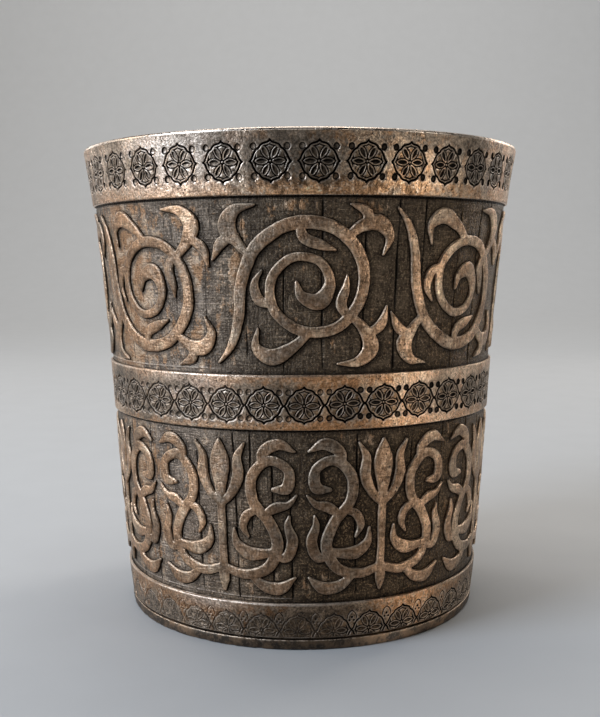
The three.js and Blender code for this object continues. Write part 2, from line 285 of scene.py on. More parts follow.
def rosette(P, half_x, half_z, groove=0.17):
    """Height code of one engraved rosette at points P: S > 0 on metal left standing, S < 0 where it is cut. Also how far
    inside the medallion a point is, and how far inside a petal."""
    Q = np.stack([P[:, 0] * 3.85 / half_x, P[:, 1] * 3.80 / half_z], 1)
    q = catmull(QUARTER, 3)
    ring = np.concatenate([q[:-1], (q * (1, -1))[::-1][:-1], (q * (-1, -1))[:-1], (q * (-1, 1))[::-1][:-1]])
    d = to_polygon(Q, ring)
    petals = [petal(0.46, 2.78, 0.51, a, 0.1) for a in (0, 180)] + [petal(0.58, 2.90, 0.47, a, 0.5) for a in (60, 120, -60, -120)]
    dp = np.stack([to_polygon(Q, p) for p in petals])
    near = dp.min(0)
    r = np.hypot(Q[:, 0], Q[:, 1])
    outside = d - groove
    line = 0.11 - np.abs(d + groove + 0.14)
    rings = (0.105 - np.abs(dp)).max(0)
    side = np.abs(Q[:, 1]) < np.abs(Q[:, 0]) * math.tan(math.radians(59))
    fills = np.minimum(near - 0.335, r - 0.90)
    fills = np.minimum(fills, np.where(side, np.minimum(-d - groove - 0.02, 2.62 - np.abs(Q[:, 0])), -0.47 - groove - d))
    dot = 0.19 - r
    S = np.stack([outside, line, rings, fills, dot]).max(0)
    return S, -d, -near


def punched(P, centres, r, tall=1.0):
    """Signed distance outside the nearest punched dot."""
    d = np.stack([np.hypot(P[:, 0] - x, (P[:, 1] - z) / tall) for x, z in centres])
    return d.min(0) - r


# ------------------------------------------------------------------ engraved hoops
def profile(S):
    """How much of its depth a cut has: a small bevel, a steep side and a flat bottom."""
    return smooth(0.035, -0.075, S)


def spaced(centres, count):
    """The measured angles, and the others evenly round the unseen side, in radians."""
    a = sorted(centres)
    n = count - len(a)
    gap = (360 - (a[-1] - a[0])) / (n + 1)
    return np.radians(a + [a[-1] + gap * (k + 1) for k in range(n)])


def half_tile(z0, z1, pitch, field, fill, step, more):
    """Triangles over x = 0 .. pitch / 2, z0 .. z1 that follow the field's edges. field(P) gives S, more are extra points."""
    nx = int(math.ceil(pitch / 2 / 0.04))
    hx = pitch / 2 / nx
    nz = int(math.ceil((z1 - z0) / 0.04))
    hz = (z1 - z0) / nz
    X, Z = np.meshgrid(np.linspace(0, pitch / 2, nx + 1), np.linspace(z0, z1, nz + 1))
    S = field(np.stack([X.ravel(), Z.ravel()], 1)).reshape(X.shape)
    S = np.where((Z < z0 + 0.16) | (Z > z1 - 0.16), 0.3, S)
    pts, edges = [], []
    for level, s in ((0.03, step), (-0.025, step), (-0.072, step * 1.15)):
        for line, closed in outlines(S, level, 0, z0, hx, hz):
            q = evenly(line, closed, s)
            if not closed and len(q) < 2:
                continue
            if not closed:
                for e in (q[0], q[-1]):
                    e[0] = 0.0 if e[0] < pitch / 4 else pitch / 2
            n = len(pts)
            pts += q.tolist()
            m = len(q)
            edges += [(n + k, n + (k + 1) % m) for k in range(m if closed else m - 1)]
    pts = np.array(pts)
    border = []
    for x in (0.0, pitch / 2):
        held = np.unique(np.round(pts[np.abs(pts[:, 0] - x) < 1e-9][:, 1], 5)) if len(pts) else np.array([])
        free = np.arange(z0, z1 + 1e-6, (z1 - z0) / round((z1 - z0) / 0.36))
        free = np.array([f for f in free if not len(held) or np.abs(held - f).min() > 0.12 or f in (free[0], free[-1])])
        border.append(np.unique(np.round(np.concatenate([held, free, [z0, z1]]), 5)))
    across = np.linspace(0, pitch / 2, max(int(round(pitch / 2 / fill)), 2) + 1)
    extra = [(0.0, z) for z in border[0]] + [(pitch / 2, z) for z in border[1]] + [(x, z) for z in (z0, z1) for x in across[1:-1]]
    fixed = np.vstack([pts, np.array(extra)] + ([more] if len(more) else []))
    grid = hexes(0.15, pitch / 2 - 0.15, z0 + 0.2, z1 - 0.2, fill)
    grid = grid[(grid[:, 0] < pitch / 2 - 0.1) & (grid[:, 1] < z1 - 0.12)]
    grid = thin_out(grid, fixed, 0.13)
    both = np.vstack([fixed, grid])
    verts, tris = triangulate(both, edges)
    verts[:, 0] = np.clip(verts[:, 0], 0, pitch / 2)
    a, b, c = (verts[tris[:, k]] for k in range(3))
    area = (b - a)[:, 0] * (c - a)[:, 1] - (b - a)[:, 1] * (c - a)[:, 0]
    tris = np.where(area[:, None] < 0, tris[:, ::-1], tris)[np.abs(area) > 1e-7]
    used = np.unique(tris)
    back = np.full(len(verts), -1)
    back[used] = np.arange(len(used))
    return verts[used], back[tris]


def strips(k, tiles):
    """Which strip each tile lies in, and its place along it, for a ring laid out in k strips."""
    per = math.ceil(tiles / k)
    return [(i // per, i % per) for i in range(tiles)], per


def hoop(name, z0, z1, zmid, angles, half_x, half_z, dots, dot_r, deep, rows, rigid, seed, fill=0.42, step=0.14, worn=0.0,
         extra_cut=None, groove=0.17, tall=1.0, floor_painted_light=(0.52, 0.46), floor_painted_light_lit_side=(0.0, 0.0), ink=None, lip_wear_and_highlight=0.0, drop=None, faint=0.0):
    """An engraved hoop: a tile round each rosette from z0 to z1 on the outer face, then rows, the (r, z) points of the
    rest of its section, from above z1 round the back to below z0."""
    count = len(angles)
    radius = float(band(zmid))
    pitch = 2 * math.pi * radius / count

    def parts(P):
        Q = P - (0, zmid)
        S, inner, petal_in = rosette(Q, half_x, half_z, groove)
        left, _, _ = rosette(Q - (pitch, 0), half_x, half_z, groove)
        S = np.minimum(S, np.where(Q[:, 0] > pitch / 2 - 0.6, left, 9.0))
        S = np.minimum(S, np.where(Q[:, 0] < -pitch / 2 + 0.6, rosette(Q + (pitch, 0), half_x, half_z, groove)[0], 9.0))
        if extra_cut:
            S = np.minimum(S, extra_cut(Q, pitch))
        return S, punched(np.abs(Q), dots, dot_r, tall), inner, petal_in

    def field(P):
        S, D, _, _ = parts(P)
        return np.minimum(S, D)

    more = np.array([(x + q * dot_r * math.cos(a), zmid + z + q * dot_r * math.sin(a)) for x, z in dots if x < pitch / 2
                     for q, n in ((0.0, 1), (0.52, 7)) for a in np.linspace(0, 2 * math.pi, n + 1)[:-1]]).reshape(-1, 2)
    hv, ht = half_tile(z0, z1, pitch, field, fill, step, more)
    centre = np.abs(hv[:, 0]) < 1e-9
    mv = hv[~centre] * (-1, 1)
    index = np.arange(len(hv))
    index[~centre] = len(hv) + np.arange(len(mv))
    tile = np.vstack([hv, mv])
    tris = np.vstack([ht, index[ht][:, ::-1]])
    # a left-border vertex is the right-border vertex of the tile before
    right = np.nonzero(np.abs(tile[:, 0] - pitch / 2) < 1e-6)[0]
    left = index[right]
    own = np.ones(len(tile), bool)
    own[left] = False
    slot_of = np.full(len(tile), -1)
    slot_of[own] = np.arange(own.sum())
    per = int(own.sum())
    ids = []
    for i in range(count):
        g = slot_of + i * per
        g[left] = slot_of[right] + ((i - 1) % count) * per
        ids.append(g)
    # where each tile's points go round the ring
    steps = np.diff(np.concatenate([angles, [angles[0] + 2 * math.pi]]))
    rng = np.random.default_rng(seed)
    theta = np.zeros(per * count)
    zz = np.zeros(per * count)
    xs = np.zeros(per * count)
    which = np.zeros(per * count, int)
    mine = tile[own]
    for i in range(count):
        x, z = mine[:, 0].copy(), mine[:, 1].copy()
        side = np.where(x >= 0, steps[i], steps[i - 1]) * radius / 2  # half gap in mm
        hard = min(rigid, pitch / 2 - 0.25)
        a = np.abs(x)
        stretch = (side - hard) / (pitch / 2 - hard)
        even = a * side / (pitch / 2)
        moved = np.where(a <= hard, a, hard + (a - hard) * np.maximum(stretch, 0.2)) if rigid > 0 else even
        clash = stretch < 0.2
        moved = np.where(clash, even, moved)
        turn = math.radians(rng.uniform(-1.3, 1.3))
        r2 = np.clip(1 - (a / (pitch / 2)) ** 4, 0, 1) * np.clip(1 - ((z - zmid) / ((z1 - z0) / 2)) ** 4, 0, 1)
        sx = np.sign(x) * moved
        dx = -(z - zmid) * turn * r2
        dz = sx * turn * r2 + rng.uniform(-0.07, 0.07) * r2
        theta[i * per : (i + 1) * per] = angles[i] + (sx + dx) / radius
        zz[i * per : (i + 1) * per] = z + dz
        xs[i * per : (i + 1) * per] = x
        which[i * per : (i + 1) * per] = i
    if drop:
        zz = zz - drop(theta) * np.clip(1 - ((zz - 0.5 * (z0 + z1)) / ((z1 - z0) / 2)) ** 4, 0, 1)
    S, D, inner, petal_in = (np.tile(v, count) for v in parts(mine))
    near_field, far_field = field(mine + (-0.06, 0.06)), field(mine + (0.06, -0.06))
    lit = np.tile(np.clip((far_field - near_field) / 0.17, -1, 1), count)
    # Painted shadow: petal and dot floors are lightened only where the metal toward the upper-left lamp leaves them
    # unshaded, so dark crescents are painted on their upper-left sides.
    toward_light = parts(mine + (-0.10, 0.10))
    petal_floor_unshaded = np.tile(smooth(0.06, 0.17, toward_light[3]), count)
    dot_toward_light = parts(mine + (-0.19, 0.19))[1]
    dot_floor_unshaded = np.tile(smooth(0.02, -0.16, dot_toward_light), count)
    p3 = on_wall(theta, band(zz), zz)
    # each rosette is cut a little differently, and rubbed in places
    fresh = smooth(0.08, 0.28, np.sin(theta)) if ink and faint else 0.0
    cut = deep * (1 + 0.14 * noise(p3, 9.0, seed + 3) - worn * (1 - 0.9 * fresh) * smooth(-0.1, 0.7, noise(p3, 13.0, seed + 5)))
    cut = cut * (1 - faint * (1 - 0.9 * fresh) * smooth(0.30, 0.60, inner))
    low = profile(S)
    # The left side, which faces the key lamp, gets more painted light on the floors of the cuts.
    lit_side = smooth(0.32, -0.22, np.sin(theta - 0.05))
    core_painted_light = floor_painted_light[0] + floor_painted_light_lit_side[0] * lit_side + 0.10 * noise(p3, 6.0, seed + 19)
    dot_painted_light = floor_painted_light[1] + floor_painted_light_lit_side[1] * lit_side
    bowl = 0.75 * smooth(0.03, -0.16, D) + 0.25 * smooth(-0.1, -dot_r, D)
    core = smooth(0.12, 0.30, petal_in) * low
    lit_core = smooth(0.10, 0.19, petal_in) * petal_floor_unshaded * low
    h = -cut * np.maximum(low * (1 + 0.22 * core), 0.85 * bowl)
    h -= 0.05 * smooth(0.1, 0.5, inner) * (1 - low)
    h += 0.030 * fbm(p3, 7.0, seed + 11, 3) + 0.010 * noise(p3, 1.1, seed + 17)
    # tool slips: the walls of the cuts wander
    edge_fade = np.minimum(smooth(z0, z0 + 0.5, zz), smooth(z1, z1 - 0.5, zz))
    wob = 0.035 * noise(p3, 1.3, seed + 23) * edge_fade
    theta = theta + wob / radius
    zz = zz + 0.035 * noise(p3, 1.3, seed + 29) * edge_fade
    r = band(zz) + h
    fade = np.clip(cut / deep, 0, 1)
    if ink:
        fade = fade * ink(theta)
    # Painted light and shade: on the far left, cut walls that face the lamp are painted less dark.
    lit_far_left = smooth(0.02, -0.50, np.sin(theta))
    lit_groove_fade = 1 - 0.60 * lit_far_left * smooth(0.10, 0.60, lit)
    hollow_dirt_and_shade = np.maximum(low * (1 - core_painted_light * lit_core) * lit_groove_fade, (0.92 - dot_painted_light * smooth(-0.04, -0.22, D) * dot_floor_unshaded) * smooth(0.03, -0.07, D)) * fade
    hollow = low * fade
    # Bright rubbed edges with a painted highlight: stronger where an edge faces the upper-left lamp and on the left
    # side, plus a painted highlight strip along the top lip.
    wear_and_highlight = np.exp(-((np.clip(np.minimum(S, D), -0.3, 1) - 0.035) / 0.065) ** 2) * fade * np.clip(0.42 + 0.75 * lit, 0, 1) * (0.48 + 0.52 * lit_far_left)
    wear_and_highlight = np.maximum(wear_and_highlight, lip_wear_and_highlight * (0.25 + 0.75 * lit_side) * smooth(z1 - 0.42, z1 - 0.12, zz))
    verts = on_wall(theta, r, zz)
    faces3 = [np.concatenate([ids[i][tris] for i in range(count)])]
    # border columns, in order round the ring
    def border(at):
        k = np.nonzero(own & (np.abs(tile[:, 1] - at) < 1e-6))[0]
        k = k[np.argsort(tile[k, 0])]
        return np.concatenate([slot_of[k] + i * per for i in range(count)]), len(k)
    top, nt = border(z1)
    low_row, nb = border(z0)
    assert nt == nb, (name, nt, nb)
    cols = theta[top]
    n = len(top)
    new_v, row_hollow_dirt_and_shade, row_wear_and_highlight, rings = [], [], [], [top]
    base = len(verts)
    for k, (rr, zr, rag) in enumerate(rows):
        p = on_wall(cols, np.full(n, rr), np.full(n, zr))
        # small dents along worn edges
        dent = np.clip(noise(p, 1.6, seed + 31) - (0.62 if z1 > 90 else 0.45), 0, 1) * (0.16 if z1 > 90 else 0.30) * rag
        wave = 0.035 * fbm(p, 5.0, seed + 37, 2) * rag
        zc = 0.5 * (z0 + z1)
        new_v.append(on_wall(cols, rr - dent * 0.7 + wave, zr + np.sign(zc - zr) * dent * 0.6))
        # Dents are dark nicks; rows that lie against the wall are painted dark as shade between the parts.
        row_hollow_dirt_and_shade.append(np.clip(dent * 1.2, 0, 1) + (0.0 if rr > ground(zr) + 0.12 else 0.6 if zr < 98 else 0.1))
        keep = 0.80 if z1 > 90 else 0.30
        # The section's rounded edges: bright wear with a painted highlight, stronger on the lit left side.
        row_wear_and_highlight.append((keep + (lip_wear_and_highlight - keep if lip_wear_and_highlight else 1 - keep) * smooth(0.45, -0.1, np.sin(cols - 0.05))) * min(max((rag - 0.15) / 0.6, 0.0), 1.0))
        rings.append(base + k * n + np.arange(n))
    rings.append(low_row)
    quads = []
    for a, b in zip(rings[:-1], rings[1:]):
        quads.append(np.stack([a, np.roll(a, -1), np.roll(b, -1), b], 1))
    verts = np.vstack([verts] + new_v)
    hollow_dirt_and_shade = np.concatenate([hollow_dirt_and_shade] + row_hollow_dirt_and_shade)
    hollow = np.concatenate([hollow] + row_hollow_dirt_and_shade)
    wear_and_highlight = np.concatenate([wear_and_highlight] + row_wear_and_highlight)
    inner_all = np.concatenate([smooth(-0.05, 0.25, inner), np.zeros(len(rows) * n)])
    # where each corner lies on the unrolled strips
    k_strips = 3 if (z1 - z0) > 9 else 4
    where, wide = strips(k_strips, count)
    girth = wide * pitch
    run = [0.0]
    pts = [(band(z1), z1)] + [(a, b) for a, b, _ in rows] + [(band(z0), z0)]
    for (a, b), (c, d) in zip(pts[:-1], pts[1:]):
        run.append(run[-1] + math.hypot(c - a, d - b))
    tall = (z1 - z0) + run[-1] + 0.8
    unit = 1.0 / (max(girth, k_strips * tall) * 1.004 + 0.6)
    loops = []
    tx = tile[tris.reshape(-1)]
    for i in range(count):
        s, c = where[i]
        u = (c * pitch + tx[:, 0] + pitch / 2 + 0.3) * unit
        v = (s * tall + (tx[:, 1] - z0) + 0.3) * unit
        loops.append(np.stack([u, v], 1))
    tri_uv = np.concatenate(loops)
    quad_uv = []
    cx = np.concatenate([tile[own & (np.abs(tile[:, 1] - z1) < 1e-6)][:, 0]])
    cx = np.sort(cx)
    for k in range(len(rings) - 1):
        for i in range(count):
            s, c = where[i]
            # nt columns per tile, from just right of the left border to the right border
            x_to = cx + pitch / 2
            x_from = np.concatenate([[0.0], x_to[:-1]])
            va = (s * tall + (z1 - z0) + run[k] + 0.3) * unit
            vb = (s * tall + (z1 - z0) + run[k + 1] + 0.3) * unit
            ua = (c * pitch + x_from + 0.3) * unit
            ub = (c * pitch + x_to + 0.3) * unit
            quad_uv.append(np.stack([np.stack([ua, np.full_like(ua, va)], 1), np.stack([ub, np.full_like(ub, va)], 1),
                                     np.stack([ub, np.full_like(ub, vb)], 1), np.stack([ua, np.full_like(ua, vb)], 1)], 1))
    # the quad j joins column j to j + 1: shift so that each tile's first quad starts at its left border
    quads = [np.roll(q, 1, 0) for q in quads]
    faces4 = [np.concatenate(quads)]
    places = np.concatenate([tri_uv, np.concatenate(quad_uv).reshape(-1, 2)])
    ob = make(name, verts, faces3 + faces4, [name], {"hollow_dirt_and_shade": hollow_dirt_and_shade, "hollow": hollow, "wear_and_highlight": wear_and_highlight, "inner": inner_all}, places=places)
    return ob


def rim_rows():
    r = lambda z: float(band(z))
    rows = [(r(99.45) - 0.01, 99.45, 1.0), (r(99.7) - 0.07, 99.68, 1.0), (r(100) - 0.26, 99.87, 1.0), (r(100) - 0.52, 99.97, 0.8),
            (r(100) - 0.85, 100.0, 0.4), (r(100) - 1.25, 99.98, 0.4), (r(100) - 1.55, 99.86, 0.6), (r(100) - 1.74, 99.6, 0.6),
            (float(inside(99.2)), 99.2, 0.2), (float(inside(98.5)), 98.5, 0.0), (float(ground(98.5)) + 0.1, 98.5, 0.0),
            (float(ground(94)) + 0.1, 94.0, 0.0), (float(ground(88.03)) + 0.1, 88.03, 0.0), (r(88.03) - 0.18, 88.03, 0.6),
            (r(88.07) - 0.05, 88.06, 1.0)]
    return rows


def hoop_rows(z0, z1):
    r = lambda z: float(band(z))
    return [(r(z1) - 0.03, z1 + 0.05, 1.0), (r(z1) - 0.12, z1 + 0.11, 1.0), (r(z1) - 0.27, z1 + 0.14, 0.8),
            (float(ground(z1)) + 0.1, z1 + 0.14, 0.0), (float(ground(z0)) + 0.1, z0 - 0.14, 0.0), (r(z0) - 0.20, z0 - 0.14, 0.6),
            (r(z0) - 0.04, z0 - 0.07, 1.0)]


def base_arch(Q, pitch):
    """The small pointed arch with its punched dots between two base rosettes."""
    x = pitch / 2 - np.abs(Q[:, 0])
    z = Q[:, 1]
    arch = np.abs(np.hypot(x + 0.35, (z - 2.5) * 0.8) - 1.25)
    arch = np.where(z > 2.45, arch, np.abs(x - 0.9) + (2.45 - z) * 0.4)
    arch = np.where(z > 1.85, arch, 1.0)
    dots = np.minimum(np.hypot(x, z - 2.65) - 0.27, np.hypot(x - 0.42, z - 2.0) - 0.24)
    return np.minimum(arch - 0.10, dots)


RIM_AT = [-61.9, -50.9, -39.6, -28.6, -17.58, -6.56, 4.25, 15.13, 25.66, 36.3, 47.1, 57.6, 68.2]
WAIST_AT = [-53.2, -41.3, -30.28, -19.71, -9.62, 0.77, 11.2, 21.8, 32.5, 43.55, 54.8]
BASE_AT = [-11.7, -1.4, 8.98, 19.58, 30.6, 42.0]


# ------------------------------------------------------------------ scrollwork
VINE = [
    [(-16.2, -14.4, .4), (-13.6, -11.2, 1.5), (-11.9, -6, 2), (-11.2, .2, 2.2), (-8.2, 7.2, 2.4), (-1.2, 11.6, 2.5), (6.6, 10.4, 2.4), (11.4, 4.6, 2.3), (11.2, -2.6, 2.2), (6.6, -7.8, 2.1), (-.2, -8.2, 2), (-5.2, -4, 1.9), (-5.2, 1.8, 1.8), (-1.2, 5.4, 1.7), (3.6, 4.4, 1.7), (5.4, .6, 2), (3.4, -2.8, 3.2), (.2, -1.8, 2), (-.8, .8, .6)],
    [(-9.4, 5.6, 1.2), (-11.6, 8.2, 2), (-13.4, 11, 3.4), (-12, 13.9, 2.2), (-8.2, 15, .4)],
    [(-12.4, 9.4, 1.6), (-14.8, 8, 2), (-16.6, 5, .4)],
    [(8.6, 9.2, 1.4), (11.4, 11.2, 2.3), (14.6, 11.6, 3), (16.6, 9, 1.8), (15.4, 5.8, .4)],
    [(12.4, 11.2, 1.6), (12, 13.6, 2), (9, 15, .4)],
    [(9.6, -5.6, 1.3), (12.2, -8.2, 2.2), (13.6, -11.6, 3.3), (11.2, -14.2, 2), (7, -14.6, .4)],
    [(12.9, -9.2, 1.6), (15.6, -7.2, 2), (16.7, -3.8, .4)],
    [(1.6, -8.6, 1.4), (-1.4, -11.2, 2.1), (-5.6, -13.2, 3.1), (-8.6, -11.4, 1.8), (-8.2, -7.8, .4)],
    [(-.2, 11.4, 1.4), (.6, 9, 2.1), (3.6, 7.6, 1.9), (6.4, 6.6, .4)],
    [(8.9, -5.9, 1.2), (7.6, -3.4, 2.1), (8.4, -.4, 1.6), (8.6, 2, .4)],
    [(-5.4, -3.6, 1.2), (-7.9, -2.4, 2), (-8.6, .4, 1.5), (-7.2, 3, .4)],
]
STEM = [[(0, -15.2, .6), (0, -12.6, 2.2), (0, -9, 1.7), (0, -2, 1.7), (0, 4.2, 1.9), (0, 7.6, 3), (0, 10.6, 4), (0, 13.2, 2.4), (0, 15.3, .4)]]
SIDE = [
    [(0, -10.4, 1.6), (4.4, -11.6, 2), (9.2, -10, 2.2), (11.2, -5.4, 2.3), (9.6, -.8, 2.2), (6.6, 3.2, 2.1), (6.4, 8, 2.1), (9.8, 11.4, 2), (13.3, 9.6, 1.9), (13.1, 6, 2.3), (10.6, 5.6, .9)],
    [(0, 2.2, 1.3), (2.2, 4.6, 1.8), (3.7, 8.2, 2.3), (3.6, 11.8, 1.6), (5, 14.6, .5)],
    [(10.8, -6.6, 1.3), (8.6, -7.2, 1.9), (5.4, -7.2, 2.7), (2.9, -5.2, 1.7), (2.6, -2.4, .5)],
    [(5.6, -11.6, 1.3), (8.4, -13.8, 2.2), (11.6, -14.2, 2.5), (14.6, -12, .5)],
    [(10.7, -7.6, 1.2), (12.8, -7.9, 2), (14.1, -4.8, 2.2), (13.2, -1.4, 1.4), (13.5, .4, .5)],
    [(8.6, .6, 1.3), (11, 2.1, 2.1), (13.2, 2.7, 1.4), (14.9, 4.5, .5)],
    [(7.6, 1.6, 1.2), (5.4, .6, 1.8), (4.4, -1.8, 1.5), (5.4, -4, .5)],
    [(8.2, 10.6, 1.2), (8.6, 12.8, 2), (11.4, 14.6, 2.3), (14.6, 13.2, .5)],
]
PALMETTE = STEM + SIDE + [[(-x, y, w) for x, y, w in s] for s in SIDE]
UPPER_MID, LOWER_MID = 71.445, 26.955
GRID = 0.11


def stroke_field(strokes):
    """Distance inside the union of the tapering strokes, on a grid over the motif."""
    n = int(36 / GRID) + 1
    xs = np.linspace(-18, 18, n)
    X, Y = np.meshgrid(xs, xs)
    S = np.full(X.shape, -9.0)
    for s in strokes:
        c = catmull(s, 8)
        for (ax, ay, aw), (bx, by, bw) in zip(c[:-1], c[1:]):
            pad = max(aw, bw) / 2 + 1.6
            i0, i1 = np.searchsorted(xs, (min(ay, by) - pad, max(ay, by) + pad))
            j0, j1 = np.searchsorted(xs, (min(ax, bx) - pad, max(ax, bx) + pad))
            x, y = X[i0:i1, j0:j1], Y[i0:i1, j0:j1]
            ex, ey = bx - ax, by - ay
            t = np.clip(((x - ax) * ex + (y - ay) * ey) / (ex * ex + ey * ey + 1e-12), 0, 1)
            d = (aw + (bw - aw) * t) / 2 - np.hypot(x - ax - ex * t, y - ay - ey * t)
            S[i0:i1, j0:j1] = np.maximum(S[i0:i1, j0:j1], d)
    return xs, S


def stamp(strokes, bevel=0.12, step=0.24, fill=0.62):
    """One motif laid flat: top and bottom triangles, and its outline, shared by every copy."""
    xs, S = stroke_field(strokes)
    h = xs[1] - xs[0]
    at = lambda P: sample(S, xs[0], xs[0], h, h, P[:, 0], P[:, 1])
    pts, edges, loops = [], [], []
    for level, keep in ((0.0, True), (bevel, False), (bevel * 2.6, False)):
        for line, closed in outlines(S, level, xs[0], xs[0], h, h):
            if len(line) < 12:
                continue
            q = evenly(line, closed, step if keep else step * 1.15)
            n, m = len(pts), len(q)
            pts += q.tolist()
            edges += [(n + k, n + (k + 1) % m) for k in range(m)]
            if keep:
                loops.append(np.arange(n, n + m))
    fixed = np.array(pts)
    grid = hexes(-17, 17, -17, 17, fill)
    grid = grid[at(grid) > bevel * 2.6 + 0.12]
    grid = thin_out(grid, fixed, 0.2)
    v, t = triangulate(np.vstack([fixed, grid]), edges)
    keep = at(v[t].mean(1)) > 0.0
    t = t[keep]
    a, b, c = (v[t[:, k]] for k in range(3))
    area = (b - a)[:, 0] * (c - a)[:, 1] - (b - a)[:, 1] * (c - a)[:, 0]
    t = np.where(area[:, None] < 0, t[:, ::-1], t)[np.abs(area) > 1e-7]
    # bottom: the outline alone
    ring = np.concatenate(loops)
    where = {int(i): k for k, i in enumerate(ring)}
    be = [(where[int(l[k])], where[int(l[(k + 1) % len(l)])]) for l in loops for k in range(len(l))]
    bv, bt = triangulate(fixed[ring], be)
    bt = bt[at(bv[bt].mean(1)) > 0.0]
    a, b, c = (bv[bt[:, k]] for k in range(3))
    area = (b - a)[:, 0] * (c - a)[:, 1] - (b - a)[:, 1] * (c - a)[:, 0]
    bt = np.where(area[:, None] > 0, bt[:, ::-1], bt)[np.abs(area) > 1e-7]
    e = 0.11
    lean = np.stack([at(v - (e, 0)) - at(v + (e, 0)), at(v - (0, e)) - at(v + (0, e))], 1)
    lean = lean / np.maximum(np.hypot(lean[:, 0], lean[:, 1]), 1e-6)[:, None]
    return {"v": v, "t": t, "s": at(v), "lean": lean, "loops": loops, "ring": ring, "bt": bt, "field": (xs, S)}


def undulation(p):
    """How the ground swells between the hoops."""
    return 0.07 * fbm(p, 6.5, 41, 2) + 0.022 * noise(p, 1.4, 43) + 0.02 * noise(p * (1, 1, 0.45), 0.9, 47)


def scroll(name, mark, turn, mid, flip, seed):
    """One copy of a motif bent round the wall."""
    v = mark["v"] * (1, -1) if flip else mark["v"].copy()
    t = mark["t"][:, ::-1] if flip else mark["t"]
    bt = mark["bt"][:, ::-1] if flip else mark["bt"]
    s = mark["s"]
    radius = float(ground(mid))
    n = len(v)
    theta = math.radians(turn) + v[:, 0] / radius
    z = mid + v[:, 1]
    p = on_wall(theta, band(z), z)
    # hand-cut edges wander a little
    theta = theta + (0.06 * noise(p, 2.6, seed + 1) + 0.035 * noise(p, 0.9, seed + 3)) / radius
    z = z + 0.06 * noise(p, 2.6, seed + 2) + 0.035 * noise(p, 0.9, seed + 4)
    lean = mark["lean"] * (1, -1) if flip else mark["lean"]
    lit = np.clip(lean[:, 1] - lean[:, 0], -1.4, 1.4) / 1.42
    bev = -0.20 * smooth(0.13, 0.0, s) - 0.075 * smooth(0.34, 0.08, s)
    tops = -0.035 + 0.045 * fbm(p, 3.4, seed + 5, 2) + 0.02 * noise(p, 0.9, seed + 8)
    tops -= 0.05 * np.clip(noise(p, 1.5, seed + 9) - 0.45, 0, 1) * 3
    r = band(z) + bev + tops
    ring = mark["ring"]
    # Painted contact shadow: the outer skirt ring is painted black all round and reaches further out on the lower
    # right, away from the upper-left lamp.
    spread = 0.10 + 0.17 * np.clip(-lit[ring], 0, 1)
    ft, fz = theta[ring] + lean[ring, 0] * spread / radius, z[ring] + lean[ring, 1] * spread
    low = on_wall(ft, ground(fz) - 0.14, fz)
    verts = np.vstack([on_wall(theta, r, z), low])
    mid_ring = on_wall(theta[ring], r[ring] - 0.26, z[ring])
    skirt = on_wall(ft, ground(fz) + undulation(on_wall(ft, ground(fz), fz)) + 0.05, fz)
    verts = np.vstack([verts, mid_ring, skirt])
    where = {int(i): k for k, i in enumerate(ring)}
    quads = []
    for l in mark["loops"]:
        k = np.array([where[int(i)] for i in l])
        for hi, lo in ((l, n + len(ring) + k), (n + len(ring) + k, n + 2 * len(ring) + k), (n + 2 * len(ring) + k, n + k)):
            q = np.stack([hi, lo, np.roll(lo, -1), np.roll(hi, -1)], 1)
            quads.append(q)
    quads = np.concatenate(quads)
    if flip:
        quads = quads[:, ::-1]
    bottom = n + bt
    # Painted highlight on edges facing the upper-left lamp, weaker on the right side; the side walls facing away from
    # it get painted shade.
    side = 0.42 + 0.58 * smooth(0.50, -0.05, np.sin(theta))
    wear_and_highlight = np.concatenate([smooth(0.24, 0.02, s) * np.clip(0.50 + 0.62 * lit, 0.05, 1) * side, np.zeros(len(ring)), np.clip(0.5 * lit[ring], 0, 1) * side[ring], np.zeros(len(ring))])
    # Hollows in the tops are dark dirt; edges facing away from the lamp get painted shade.
    face = np.maximum(np.clip(-tops * 3 - 0.12, 0, 1) * 0.5, 0.42 * smooth(0.20, 0.0, s) * np.clip(-lit, 0, 1))
    hollow_dirt_and_shade = np.concatenate([face, np.ones(len(ring)), 0.60 - 0.25 * lit[ring], np.ones(len(ring))])
    ob = make(name, verts, [t, bottom, quads], [name],
              {"hollow_dirt_and_shade": hollow_dirt_and_shade, "hollow": hollow_dirt_and_shade, "wear_and_highlight": wear_and_highlight, "inner": 0 * hollow_dirt_and_shade}, smooth_angle=50)
    return ob


